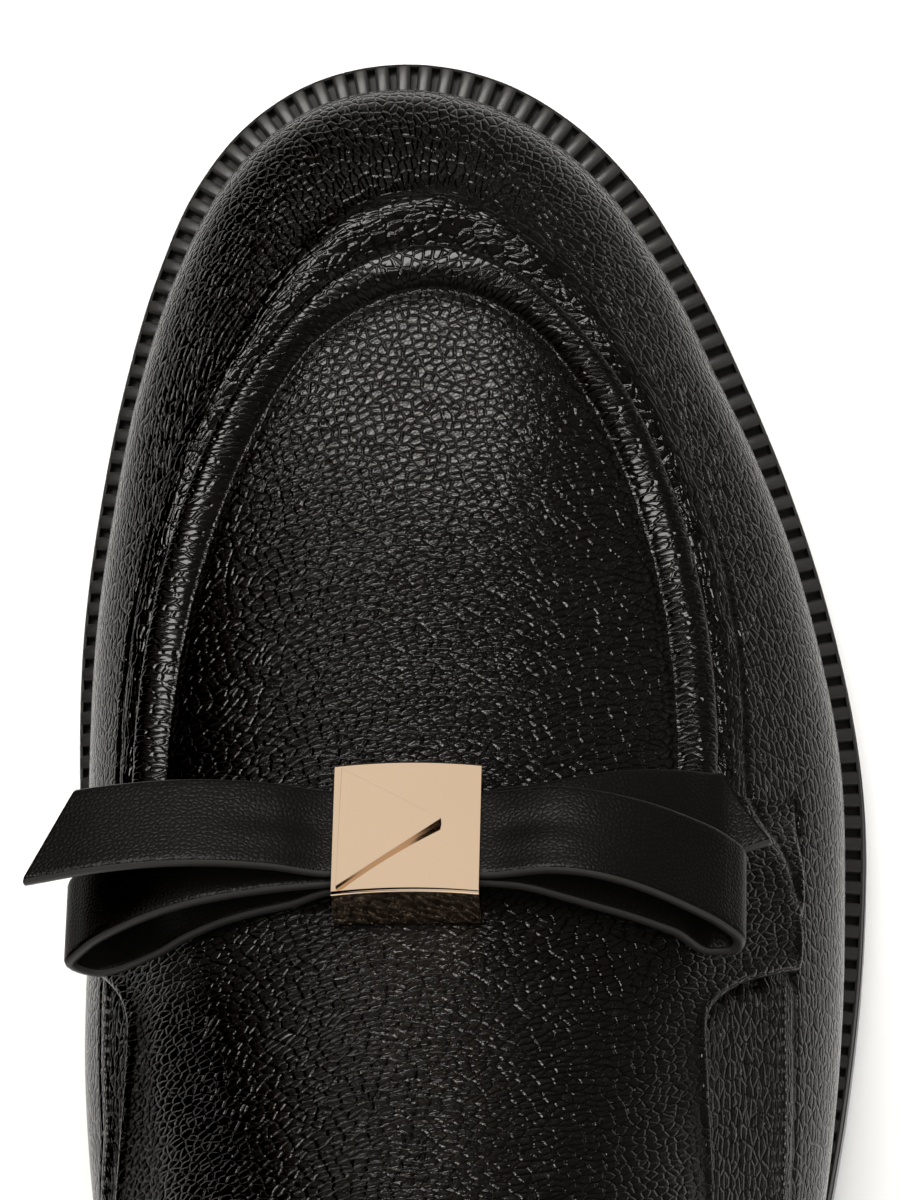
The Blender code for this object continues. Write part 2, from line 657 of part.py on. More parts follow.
class BowFrame:
    """The bow's own axes on the vamp: x sideways, back towards the heel, out along the vamp's normal."""

    def __init__(self, under):
        nudge = 5 * MM
        fall = along(RIDGE, "height", BOW_STATION + nudge) - along(RIDGE, "height", BOW_STATION - nudge)
        pitch = math.atan2(-fall, 2 * nudge)
        self.back = Vector((0, -math.cos(pitch), math.sin(pitch)))
        self.out = Vector((0, math.sin(pitch), math.cos(pitch)))
        self.trees = []
        for obj in under:
            self.lay_on(obj)
        self.origin = Vector((BOW_X, BOW_STATION, float(along(RIDGE, "height", BOW_STATION))))
        self.origin = self.point(0, 0, self.surface(0, 0))

    def lay_on(self, obj):
        """Counts one more piece among those that the ribbons lie on."""
        bm = bmesh.new()
        bm.from_mesh(obj.data)
        self.trees.append(BVHTree.FromBMesh(bm))
        bm.free()

    def point(self, x, back, out):
        return self.origin + Vector((x, 0, 0)) + self.back * back + self.out * out

    def surface(self, x, back):
        """How far the shoe's surface stands out at a place under the bow."""
        start = self.point(x, back, 60 * MM)
        hits = [tree.ray_cast(start, -self.out)[0] for tree in self.trees]
        return max((self.out.dot(hit - self.origin) for hit in hits if hit), default=-60 * MM)

    def bearing(self, x, turn):
        """Highest surface under a ribbon's width, for a ribbon turned in its plane."""
        backs = np.linspace(-0.5, 0.5, 7) * (RIBBON_WIDTH + MM)
        return max(self.surface(x, back - swing(x, turn)) for back in backs)


def swing(x, turn):
    """How far towards the toe a turned ribbon has swung at a distance from the knot's middle."""
    return max(0.0, abs(x) - KNOT_WIDTH / 6) * math.tan(turn)


def ribbon(name, frame, path, leather, turn=0.0, end_cut=0.0, heel_drop=0.0):
    """A leather strip along a path of (sideways, out) points, thinned inside the knot.

    turn swings it towards the toe in its own plane, end_cut shortens its toe-side edge, and heel_drop
    lowers its heel-side edge towards the far end."""
    bm = bmesh.new()
    line = curve_through(path, 400, closed=False)
    ahead = np.gradient(line, axis=0)
    ahead /= np.linalg.norm(ahead, axis=1)[:, None]
    rows = []
    for way in np.linspace(0, 1, RIBBON_STEPS):
        corners = []
        for back in (-RIBBON_WIDTH / 2, RIBBON_WIDTH / 2):
            place = round(way * (1 - end_cut * (0.5 - back / RIBBON_WIDTH)) * (len(line) - 1))
            x, out = line[place]
            facing = (-ahead[place, 1], ahead[place, 0])
            out -= heel_drop * (0.5 + back / RIBBON_WIDTH) * ease(abs(x), *LOOP_HANG)
            outside = ease(abs(x), KNOT_WIDTH / 2, KNOT_WIDTH / 2 + SQUEEZE_RUN)
            thick = KNOT_LAYER + (RIBBON_THICK - KNOT_LAYER) * outside
            for face in (-thick / 2, thick / 2):
                side = x + facing[0] * face
                shift = back - swing(side, turn)
                corners.append(frame.point(side, shift, out + facing[1] * face))
        rows.append([bm.verts.new(corners[k]) for k in (0, 1, 3, 2)])
    for first, second in zip(rows, rows[1:]):
        quad_strip(bm, first, second, closed=True)
    bm.faces.new(rows[0])
    bm.faces.new(rows[-1])
    return new_mesh_object(name, bm, leather)


def knot_levels():
    """Middle heights of the three ribbon layers inside the knot, lowest first."""
    first = FIT_GAP + KNOT_WALL + FIT_GAP + KNOT_LAYER / 2
    return [first + layer * (KNOT_LAYER + FIT_GAP) for layer in range(3)]


# Bow paths in millimetres: distance sideways from the knot and height over the vamp's crown
LATERAL_LOOP_OVER = [(18, 7.4), (27, 5.8), (34.5, 1.8), (39.4, -2.2), (41.2, -5.4), (38.8, -8.2)]
MEDIAL_LOOP_OVER = [(18, 3.2), (27, 1.0), (34.5, -2.8), (40.4, -7.6), (42.4, -11.0), (40.0, -12.8)]
MEDIAL_TAIL_OVER = [(16, 7.4), (25, 8.4), (36, 7.2), (45.6, 4.4)]
LOOP_RETURNS = np.linspace(34, 14, 5)  # where the loops' lower layers lie on the shoe
LOOP_LOWEST = -11.5 * MM  # the loops stop following the walls below this
LOOP_TURN = math.radians(-3)
LOOP_HEEL_DROP = 2 * MM  # the heel-side edge hangs this much lower at the fold
LOOP_HANG = (20 * MM, 40 * MM)  # and starts to hang between these distances
LATERAL_TAIL_REACH = 43.0
LATERAL_TAIL_TURN = math.radians(18.5)
LATERAL_TAIL_LOWEST = -10 * MM  # its end stands off the wall below it
TAIL_END_CUT = 0.14


def rest_height(bearing):
    """Middle height of a ribbon that lies on something, with room for its tilt."""
    return (bearing + FIT_GAP * 1.5 + RIBBON_THICK * 0.6) / MM


def knot_lead(sign, level):
    """The straight stretch of a ribbon inside the knot and just out of it."""
    mouth = KNOT_WIDTH / 2 / MM
    return [(x * sign, level / MM) for x in (FIT_GAP / MM, mouth - 3, mouth + 0.8)]


def loop_path(frame, sign, over, start, end):
    """Out of the knot over the top, round the fold and back along what the loop rests on."""
    path = knot_lead(sign, start) + [(x * sign, out) for x, out in over]
    for x in LOOP_RETURNS * sign:
        path.append((x, rest_height(max(frame.bearing(x * MM, LOOP_TURN), LOOP_LOWEST))))
    return np.array(path + knot_lead(sign, end)[::-1]) * MM


def build_bow(frame, leather):
    """Two loops and two tails: the lateral tail lies lowest, the medial tail on top."""
    low, middle, high = knot_levels()
    tail = knot_lead(1, low)
    for x in np.linspace(15, LATERAL_TAIL_REACH, 6):
        bearing = max(frame.bearing(x * MM, LATERAL_TAIL_TURN), LATERAL_TAIL_LOWEST)
        tail.append((x, rest_height(bearing)))
    tail = np.array(tail) * MM
    laid = ribbon("bow_tail_lateral", frame, tail, leather, LATERAL_TAIL_TURN, TAIL_END_CUT)
    frame.lay_on(laid)
    path = loop_path(frame, 1, LATERAL_LOOP_OVER, high, middle)
    ribbon("bow_loop_lateral", frame, path, leather, LOOP_TURN, heel_drop=LOOP_HEEL_DROP)
    path = loop_path(frame, -1, MEDIAL_LOOP_OVER, middle, low)
    ribbon("bow_loop_medial", frame, path, leather, LOOP_TURN)
    tail = knot_lead(-1, high) + [(-x, out) for x, out in MEDIAL_TAIL_OVER]
    ribbon("bow_tail_medial", frame, np.array(tail) * MM, leather, 0.0, TAIL_END_CUT)


# Corners of the knot's folded face: shares of the plate's half sizes, and height in millimetres
Fold = namedtuple("Fold", "x back height")
KNOT_FOLD = [
    Fold(-0.96, -0.94, 0.15),
    Fold(0.48, -0.02, 1.1),
    Fold(-0.96, 0.94, 0.45),
]
FOLD_SUNK = 0.4 * MM


def knot_fold(frame, top):
    """The raised three-cornered fold on the knot's face, as a wedge sunk into the plate."""
    half_x, half_back = KNOT_WIDTH / 2, KNOT_LENGTH / 2
    corners = [(row.x * half_x, row.back * half_back, row.height * MM) for row in KNOT_FOLD]
    bm = bmesh.new()
    level = [top - KNOT_CROWN * (x / half_x) ** 2 for x, _, _ in corners]
    low = [bm.verts.new(frame.point(x, b, z - FOLD_SUNK)) for (x, b, _), z in zip(corners, level)]
    high = [bm.verts.new(frame.point(x, b, z + h)) for (x, b, h), z in zip(corners, level)]
    quad_strip(bm, low, high, closed=True)
    bm.faces.new(low)
    bm.faces.new(high)
    bmesh.ops.recalc_face_normals(bm, faces=bm.faces)
    mesh = bpy.data.meshes.new("knot_fold")
    bm.to_mesh(mesh)
    bm.free()
    fold = bpy.data.objects.new("knot_fold", mesh)
    fold.parent = ROOT
    fold.hide_render = True
    fold.display_type = "WIRE"
    bpy.context.scene.collection.objects.link(fold)
    return fold


def build_knot(frame, metal):
    """Knot: a flat metal sleeve, open at both sides, that all the ribbons run into."""
    bm = bmesh.new()
    base = FIT_GAP
    depth = knot_levels()[-1] + KNOT_LAYER / 2 + FIT_GAP + KNOT_WALL - base
    half = KNOT_LENGTH / 2
    shells = {"outside": [], "inside": []}
    for x in np.linspace(-KNOT_WIDTH / 2, KNOT_WIDTH / 2, 7):
        sag = -KNOT_CROWN * (x / (KNOT_WIDTH / 2)) ** 2
        outside = [
            (-half, base), (half, base),
            (half, base + depth - KNOT_CHAMFER), (half - KNOT_CHAMFER, base + depth),
            (KNOT_CHAMFER - half, base + depth), (-half, base + depth - KNOT_CHAMFER),
        ]
        inner = half - KNOT_WALL
        floor, roof = base + KNOT_WALL, base + depth - KNOT_WALL
        inside = [(-inner, floor), (inner, floor), (inner, roof), (-inner, roof)]
        for name, section in (("outside", outside), ("inside", inside)):
            bend = [sag if out > base + depth / 2 else 0.0 for _, out in section]
            if name == "inside":
                bend = [0.0] * len(section)
            ring = [bm.verts.new(frame.point(x, b, out + s)) for (b, out), s in zip(section, bend)]
            shells[name].append(ring)
    for rings in shells.values():
        for first, second in zip(rings, rings[1:]):
            quad_strip(bm, first, second, closed=True)
    for end in (0, -1):
        stitch(bm, shells["outside"][end], shells["inside"][end], closed=True)
    knot = new_mesh_object("knot", bm, metal)
    fold = knot.modifiers.new("fold", "BOOLEAN")
    fold.operation = "UNION"
    fold.object = knot_fold(frame, base + depth)
    return knot


def main():
    leather = material("black_grained_leather", (0.012, 0.012, 0.012), 0.42)
    ribbon_leather = material("black_ribbon_leather", (0.016, 0.016, 0.015), 0.55)
    rubber = material("black_rubber", (0.02, 0.02, 0.02), 0.5)
    lining = material("beige_lining_leather", (0.52, 0.40, 0.29), 0.6)
    gold = material("pale_gold_metal", (0.88, 0.72, 0.56), 0.12, 1.0)

    build_outsole(rubber)
    build_heel(rubber)
    build_welt(rubber)
    build_insole(lining)
    upper = build_upper(leather)
    saddle = build_saddle(leather)
    frame = BowFrame([upper, saddle])
    build_bow(frame, ribbon_leather)
    build_knot(frame, gold)


for leftover in list(bpy.data.objects):
    bpy.data.objects.remove(leftover, do_unlink=True)
ROOT = bpy.data.objects.new("loafer", None)
ROOT.location = FRAME_SHIFT
bpy.context.scene.collection.objects.link(ROOT)
main()
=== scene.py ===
import math

import bmesh
import bpy
import numpy as np
from mathutils import Matrix, Vector
from mathutils.bvhtree import BVHTree
from mathutils.kdtree import KDTree


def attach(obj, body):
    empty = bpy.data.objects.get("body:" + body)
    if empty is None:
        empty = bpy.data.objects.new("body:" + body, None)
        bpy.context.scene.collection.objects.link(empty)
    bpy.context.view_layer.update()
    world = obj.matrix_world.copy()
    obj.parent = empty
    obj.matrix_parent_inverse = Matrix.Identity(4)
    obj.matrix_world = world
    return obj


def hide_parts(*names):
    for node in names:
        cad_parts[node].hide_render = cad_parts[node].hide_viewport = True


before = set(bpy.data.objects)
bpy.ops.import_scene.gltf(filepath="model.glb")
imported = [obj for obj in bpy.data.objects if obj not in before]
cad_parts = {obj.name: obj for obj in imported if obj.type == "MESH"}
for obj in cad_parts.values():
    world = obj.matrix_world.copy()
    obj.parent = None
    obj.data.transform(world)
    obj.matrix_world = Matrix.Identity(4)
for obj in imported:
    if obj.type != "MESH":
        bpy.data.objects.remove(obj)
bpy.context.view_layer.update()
mm = 0.001
toFrame = np.array([0.5, -133.0, 0.0])  # mm, from the heel tip's axes used below to the frame's origin
uvUnit = 100.0  # mm of leather in one UV unit
weldReach = 2e-6  # metres; points closer than this become one
slack = 1e-6  # mm; stations this close count as the same
softFold, mouldedFold = 50, 32  # degrees; leather and rubber folded more than this show an edge
print("frame loaded:", len(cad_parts), "nodes")


# small helpers

def linear(hexColour):
    parts = [int(hexColour[i:i + 2], 16) / 255 for i in (1, 3, 5)]
    return tuple(p / 12.92 if p <= 0.04045 else ((p + 0.055) / 1.055) ** 2.4 for p in parts) + (1.0,)


def addNode(tree, kind, settings=None, inputs=None):
    node = tree.nodes.new(kind)
    for key, value in (settings or {}).items():
        setattr(node, key, value)
    for key, value in (inputs or {}).items():
        if isinstance(value, bpy.types.NodeSocket):
            tree.links.new(value, node.inputs[key])
        else:
            node.inputs[key].default_value = value
    return node


def newMaterial(name):
    material = bpy.data.materials.new(name)
    material.use_nodes = True
    return material, material.node_tree, material.node_tree.nodes["Principled BSDF"]


def ease(value, low, high):
    t = np.clip((np.asarray(value, float) - low) / (high - low), 0, 1)
    return t * t * (3 - 2 * t)


def hump(distance, width):
    return np.exp(-(np.asarray(distance, float) / width) ** 2)


def riseAndFall(value, low, full, fade, gone):
    return float(ease(value, low, full) * (1 - ease(value, fade, gone)))


def cubicThrough(knots, values, at):
    # smooth curve through rows of values
    slopes = np.gradient(values, knots, axis=0)
    i = np.clip(np.searchsorted(knots, at, side="right") - 1, 0, len(knots) - 2)
    step = knots[i + 1] - knots[i]
    t = (at - knots[i]) / step
    if values.ndim > 1:
        step, t = step[:, None], t[:, None]
    start = values[i] * (1 + 2 * t) * (1 - t) ** 2 + slopes[i] * step * t * (1 - t) ** 2
    end = values[i + 1] * (3 - 2 * t) * t**2 + slopes[i + 1] * step * (t - 1) * t**2
    return start + end


def along(shape, column, station):
    knots = np.array(shape["station"], float)
    at = np.clip(np.asarray(station, float), knots[0], knots[-1])
    return cubicThrough(knots, np.array(shape[column], float), at)


def wayAlong(points):
    # length of a line from its first point to each one
    return np.concatenate([[0], np.cumsum(np.linalg.norm(np.diff(points, axis=0), axis=1))])


def stepsRound(points):
    # distance from each point of a closed line to the next
    return np.linalg.norm(np.roll(points, -1, axis=0) - points, axis=-1)


def curveThrough(points, count, closed=False):
    points = np.asarray(points, float)
    if closed:
        points = np.vstack([points[-2:], points, points[:3]])
    knots = wayAlong(points)
    ends = (knots[2], knots[-3]) if closed else (knots[0], knots[-1])
    return cubicThrough(knots, points, np.linspace(*ends, count, endpoint=not closed))


def unitRows(rows):
    return rows / np.maximum(np.linalg.norm(rows, axis=-1, keepdims=True), 1e-9)


def placed(points):
    return (np.asarray(points, float) + toFrame) * mm


def makePiece(name, points, faces, materials, faceSlots=None, cornerUv=None):
    mesh = bpy.data.meshes.new(name)
    mesh.from_pydata(placed(points).tolist(), [], [[int(k) for k in face] for face in faces])
    for material in materials:
        mesh.materials.append(material)
    if faceSlots is not None:
        mesh.polygons.foreach_set("material_index", np.asarray(faceSlots, np.int32))
    if cornerUv is not None:
        layer = mesh.uv_layers.new(name="grain")
        layer.data.foreach_set("uv", (np.asarray(cornerUv, float) / uvUnit).astype(np.float32).ravel())
    mesh.shade_smooth()
    piece = bpy.data.objects.new(name, mesh)
    bpy.context.scene.collection.objects.link(piece)
    return piece


def paintPoints(piece, name, values):
    layer = piece.data.attributes.new(name, "FLOAT", "POINT")
    layer.data.foreach_set("value", np.asarray(values, np.float32).ravel())


def weld(piece, sharpAngle=None):
    bm = bmesh.new()
    bm.from_mesh(piece.data)
    bmesh.ops.remove_doubles(bm, verts=bm.verts, dist=weldReach)
    bmesh.ops.dissolve_degenerate(bm, edges=bm.edges, dist=weldReach / 2)
    bmesh.ops.recalc_face_normals(bm, faces=bm.faces)
    bm.to_mesh(piece.data)
    bm.free()
    piece.data.shade_smooth()
    if sharpAngle:
        piece.data.set_sharp_from_angle(angle=math.radians(sharpAngle))


def settle(piece):
    # the modifiers' result becomes the piece's plain mesh
    graph = bpy.context.evaluated_depsgraph_get()
    mesh = bpy.data.meshes.new_from_object(piece.evaluated_get(graph), depsgraph=graph)
    piece.modifiers.clear()
    old = piece.data
    piece.data = mesh
    bpy.data.meshes.remove(old)
    piece.data.name = piece.name


def handIn(piece, slotName, *nodeNames):
    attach(piece, "root")
    if nodeNames:
        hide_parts(*nodeNames)
    print("piece ready:", piece.name, len(piece.data.polygons), "faces")


def gridFaces(columns, rows, start=0, closed=False, flip=False):
    index = start + np.arange(columns * rows).reshape(columns, rows)
    ahead = np.roll(index, -1, axis=0)
    if not closed:
        index, ahead = index[:-1], ahead[:-1]
    corners = [index[:, :-1], ahead[:, :-1], ahead[:, 1:], index[:, 1:]]
    if flip:
        corners = corners[::-1]
    return np.stack(corners, axis=-1).reshape(-1, 4)


def gridUv(uv):
    # corner UVs in the same order as gridFaces; a closed grid brings one more column
    one, two = uv[:-1], uv[1:]
    corners = [one[:, :-1], two[:, :-1], two[:, 1:], one[:, 1:]]
    return np.stack(corners, axis=2).reshape(-1, 4, 2)


def ringFaces(rings, size):
    index = np.arange(rings * size).reshape(rings, size)
    around = np.roll(index, -1, axis=1)
    return np.stack([index[:-1], around[:-1], around[1:], index[1:]], axis=-1).reshape(-1, 4).tolist()


def linePiece(name, lines, label):
    # bare lines for a node tree to grow on; label names the direction kept with every point
    points, directions, edges = [], [], []
    for line, facing in lines:
        edges += [(len(points) + i, len(points) + i + 1) for i in range(len(line) - 1)]
        points += list(line)
        directions += list(facing)
    mesh = bpy.data.meshes.new(name)
    mesh.from_pydata(placed(points).tolist(), edges, [])
    layer = mesh.attributes.new(label, "FLOAT_VECTOR", "POINT")
    layer.data.foreach_set("vector", np.asarray(directions, np.float32).ravel())
    piece = bpy.data.objects.new(name, mesh)
    bpy.context.scene.collection.objects.link(piece)
    return piece


# sole plan and last, the forms that everything else follows, in mm

soleShape = {
    "station": [3, 11, 24, 45, 72, 97, 116, 135, 155, 175, 195, 211, 226, 240, 251, 258.5, 263.5],
    "medial": [-13.5, -24.6, -31.8, -34.6, -36.2, -39.6, -43, -45.8, -47.8, -49, -48.6, -46.6, -43.6,
               -39.4, -34.3, -28.1, -20.3],
    "lateral": [14.5, 25.6, 32.8, 36, 37.8, 40.8, 43.7, 46.8, 48.8, 48.9, 45.4, 40.6, 34.6, 27.9, 20.9,
                13.3, 4.8],
    "medialWelt": [2.8, 2.8, 2.8, 2.6, 2.4, 2.4, 2.5, 2.6, 2.8, 2.9, 3, 3.2, 3.4, 3.8, 4.2, 4.4, 4.4],
    "lateralWelt": [2.8, 2.8, 2.8, 3, 3.4, 3.8, 4.2, 4.4, 4.5, 4.5, 4.5, 4.4, 4.4, 4.4, 4.4, 4.4, 4.4],
    "heelTip": (0.5, 0.0),
    "toeTip": (-7.5, 266.0),
    "samples": 1440,
    "stack": 16.0,  # floor to the welt's top under the ball
    "heelLift": 16.0,
    "ramp": (76.0, 168.0),
    "toeSpring": 7.0,
    "springFrom": 204.0,
    "fitGap": 0.3,
}
lastShape = {
    "station": [0, 42, 70, 95, 115, 135, 157, 185, 205, 225, 236, 250, 266],
    "x": [0.6, 0.6, 0.2, -0.8, -1.8, -2.8, -3.6, -4.2, -4.6, -4.8, -4.8, -4.8, -4.8],
    "height": [121, 118.5, 112, 101, 90.5, 80, 69.5, 57.8, 50.8, 46.6, 44.8, 42.8, 40],
    "fullness": [2.2, 2.2, 2.25, 2.3, 2.3, 2.35, 2.4, 2.4, 2.45, 2.65, 2.65, 2.65, 2.65],
    "medialBulge": [2.2, 2.2, 2.2, 2.3, 2.3, 1.9, 1.2, 0.8, 0.6, 0.6, 0.6, 0.6, 0.6],
    "lateralBulge": [2.2, 2.2, 1.6, 1, 0.7, 0.5, 0.5, 0.6, 0.6, 0.6, 0.6, 0.6, 0.6],
    # low on the wall, over the welt
    "medialSwell": [0.5, 0.8, 1.5, 3.0, 4.0, 3.4, 1.8, 0.9, 0.7, 0.6, 0.4, 0.2, 0],
    "lateralSwell": [0.5, 0.8, 2.0, 4.4, 5.8, 5.0, 3.7, 3.0, 2.6, 1.4, 0.6, 0.2, 0],
    "swellTop": 0.75,  # rise where the swell ends
    "swellSkew": 0.75,  # under 1 it is fullest low down
    "swellPower": 1.5,
    "heelAxis": 42.0,
    "toeAxis": 225.0,
    "toeFan": 35.0,  # mm of seam for a radian round the toe
    "throat": 140.0,
    "crestTurn": (80.0, 89.0),  # degrees of rise over which normals turn to the ridge line's
}
collarShape = {
    "station": [-5, 12, 35, 60, 85, 105, 122, 140],
    "height": [89, 87.5, 82, 75.5, 72, 74, 79, 77.6],
}


def weltTop(station):
    shape = soleShape
    lift = shape["heelLift"] * (1 - ease(station, *shape["ramp"]))
    spring = (np.asarray(station) - shape["springFrom"]) / (shape["toeTip"][1] - shape["springFrom"])
    return shape["stack"] + lift + shape["toeSpring"] * np.clip(spring, 0, None) ** 2


def outwardOf(plan):
    ahead = np.roll(plan, -1, axis=0) - np.roll(plan, 1, axis=0)
    return unitRows(np.stack([ahead[:, 1], -ahead[:, 0]], axis=1))


def insetPlan(plan, width):
    return plan - outwardOf(plan) * np.broadcast_to(width, len(plan))[:, None]


def solePlan():
    lateral = list(zip(soleShape["lateral"], soleShape["station"]))
    medial = list(zip(soleShape["medial"], soleShape["station"]))[::-1]
    corners = [soleShape["heelTip"], *lateral, soleShape["toeTip"], *medial]
    return curveThrough(corners, soleShape["samples"], closed=True)


def weltWidth(plan):
    medial = along(soleShape, "medialWelt", plan[:, 1])
    lateral = along(soleShape, "lateralWelt", plan[:, 1])
    return np.where(plan[:, 0] < along(lastShape, "x", plan[:, 1]), medial, lateral)


soleEdge = solePlan()
featherLine = insetPlan(soleEdge, weltWidth(soleEdge))


def fanReach(axisStation):
    away = featherLine - np.array([along(lastShape, "x", axisStation), axisStation])
    angle = np.arctan2(away[:, 1], away[:, 0]) % math.tau
    order = np.argsort(angle)
    return angle[order], np.linalg.norm(away, axis=1)[order]


toeFan = fanReach(lastShape["toeAxis"])
heelFan = fanReach(lastShape["heelAxis"])
lateralHalf = featherLine[:soleShape["samples"] // 2]
medialHalf = featherLine[soleShape["samples"] // 2:][::-1]


def columnReach(station, angle):
    # plan distance from the ridge line to the feather line
    if station >= lastShape["toeAxis"] - slack and 0 < angle < math.pi:
        return np.interp(angle, *toeFan)
    if station <= lastShape["heelAxis"] + slack and angle > math.pi:
        return np.interp(angle, *heelFan)
    half = medialHalf if angle > 1 else lateralHalf
    edge = np.interp(station, np.maximum.accumulate(half[:, 1]), half[:, 0])
    return abs(edge - along(lastShape, "x", station))


def lastPoints(station, angle, rise):
    # points up one column, from rise 0 at the feather line to a quarter turn on the ridge line
    rise = np.asarray(rise, float)
    reach = columnReach(station, angle)
    power = 2 / along(lastShape, "fullness", station)
    inward = np.cos(rise).clip(0) ** power
    medialShare = (1 - math.cos(angle)) / 2
    sides = ((1 - medialShare, "lateral"), (medialShare, "medial"))
    bulge, swell = [sum(share * along(lastShape, side + name, station) for share, side in sides)
                    for name in ("Bulge", "Swell")]
    if 0 < angle < math.pi and station > lastShape["throat"]:
        swell = swell * math.cos(angle) ** 2
    low = np.clip(rise / lastShape["swellTop"], 0, 1) ** lastShape["swellSkew"]
    away = (reach + bulge * np.sin(2 * rise).clip(0) ** 2) * inward
    away = away + swell * np.sin(math.pi * low) ** lastShape["swellPower"]
    y = station + away * math.sin(angle)
    foot = weltTop(station + reach * math.sin(angle)) + soleShape["fitGap"]
    z = foot + (along(lastShape, "height", y) - foot) * np.sin(rise) ** power
    return np.stack([along(lastShape, "x", station) + away * math.cos(angle), y, z], axis=-1)


def lastNormals(station, angle, rise):
    turn, nudge = 0.01, 0.5  # radians and mm either way
    lowest, highest = 0.002, math.pi / 2 - 1e-4
    if 0 < angle < math.pi or angle > math.pi:
        across = lastPoints(station, angle + turn, rise) - lastPoints(station, angle - turn, rise)
    else:
        across = lastPoints(station + nudge, angle, rise) - lastPoints(station - nudge, angle, rise)
        across = across * (1 if angle < 1 else -1)
    low = np.clip(rise - turn, lowest, None)
    high = np.clip(rise + turn, None, highest)
    normal = unitRows(np.cross(across, lastPoints(station, angle, high) - lastPoints(station, angle, low)))
    fall = along(lastShape, "height", station + nudge) - along(lastShape, "height", station - nudge)
    crest = np.array([0.0, -float(fall) / (2 * nudge), 1.0])
    weight = ease(rise, *np.radians(lastShape["crestTurn"]))[:, None]
    return unitRows(normal * (1 - weight) + unitRows(crest) * weight)


def riseAtReach(station, angle, away):
    power = 2 / along(lastShape, "fullness", station)
    return math.acos(min(1.0, away / columnReach(station, angle)) ** (1 / power))


# apron seam: a corded pipe, a valley, then a gathered ridge that runs on along both quarters

seamShape = {
    "centre": (-3.5, 170.0),
    "halfWidth": 32.9,
    "length": 64.9,
    "pipeRadius": 2.75,
    "pipeHeight": 1.75,
    "pipeLean": (0.45, 0.19),  # how much its outer side stands higher, at the sides and the toe
    "pipeShift": (0.0, 0.25),  # the crest lies this share of the radius outwards
    "pipeCrown": (2.2, 6.0),  # at the sides and the toe; 2 is round, more is flatter on top
    "pipeRound": 0.75,
    "pipeFrom": (154.0, 165.0),  # the cord rises between these stations, under the bow
    "grooveDepth": 0.35,
    "grooveWidth": 1.0,
    "grooveOut": 0.3,
    "valleyDepth": (0.4, 1.2),  # at the sides and the toe, at the foot of the pipe
    "valleyFade": 0.2,  # share of the pipe's radius
    "ridgeHeight": (0.35, 1.35),
    "ridgeWidth": 2.5,
    "ridgeRound": 0.25,
    "ridgeOutSide": 5.2,  # from the pipe's crown to the ridge's
    "ridgeOutToe": 8.3,
    "creaseOut": 2.3,  # the fold line outside the ridge
    "creaseDepth": 0.35,
    "creaseWidth": 0.45,
    "creaseEnd": (190.0, 215.0),
    "ridgeBlend": (160.0, 172.0),  # from the quarters' line to the line beside the pipe
    "ridgeClear": 4.0,
    "pipeBelowRim": 5.0,
    # where the ridge runs behind the pipe, from the middle plane
    "station": [60, 100, 118, 137, 150, 168],
    "lateralRidge": [35, 38.8, 39.6, 39.8, 39.3, 35.5],
    "medialRidge": [34, 38.5, 40.6, 42, 42, 40.5],
    "ridgeFade": (62.0, 100.0),
    "ridgeWaves": [(0.07, 0.45, 9, 0), (0.05, 0.93, 17, 1)],  # share, swing by station and by turn, phase
    # long wrinkles beside the ridge: distance inside it, height, width, swing length and phase
    "wrinkles": [(1.1, 0.14, 0.34, 5.5, 0.0), (2.2, 0.12, 0.34, 4.2, 1.7), (-1.3, 0.13, 0.4, 6.3, 3.1),
                 (3.3, 0.1, 0.34, 4.8, 4.4)],
    "wrinkleSide": 0.3,  # of their height at the toe
    "wrinkleSwing": 0.3,
    "wrinkleWander": (0.35, 1.7),
    "foldEnds": (0.08, 0.92),
    "maskReach": 1.25,  # of the pipe's radius
    "maskFade": 0.5,
    "gatherWidth": 1.8,  # of the drawn wrinkles on the ridge
    "valleyGather": (0.5, 1.5, 0.4),  # share, width and shift of those in the valley
    "columnSamples": 500,
}

# soft folds in the valley where the foot bends: station and distance outside the pipe, end to end
flexFolds = [
    {"side": 1, "from": (171, 1.6), "to": (167, 8.5), "depth": 0.35, "width": 1.0},
    {"side": 1, "from": (178, 1.8), "to": (173, 9.5), "depth": 0.3, "width": 1.1},
    {"side": 1, "from": (186, 1.8), "to": (180, 8.0), "depth": 0.28, "width": 1.0},
    {"side": 1, "from": (196, 2.0), "to": (190, 8.5), "depth": 0.22, "width": 1.2},
    {"side": 1, "from": (208, 2.0), "to": (203, 7.5), "depth": 0.18, "width": 1.2},
    {"side": -1, "from": (172, 1.6), "to": (167, 8.0), "depth": 0.32, "width": 1.0},
    {"side": -1, "from": (180, 1.8), "to": (174, 8.0), "depth": 0.26, "width": 1.1},
    {"side": -1, "from": (190, 1.8), "to": (184, 8.5), "depth": 0.24, "width": 1.1},
    {"side": -1, "from": (203, 2.0), "to": (197, 7.5), "depth": 0.2, "width": 1.2},
]


def apronReach(station, angle):
    start = np.array([float(along(lastShape, "x", station)), station])
    centre = np.array(seamShape["centre"])
    if station <= centre[1]:
        return seamShape["halfWidth"] + math.cos(angle) * (centre[0] - start[0])
    size = np.array([seamShape["halfWidth"], seamShape["length"]])
    offset = (start - centre) / size
    heading = np.array([math.cos(angle), math.sin(angle)]) / size
    a, b, c = heading @ heading, offset @ heading, offset @ offset - 1
    return (-b + math.sqrt(b * b - a * c)) / a


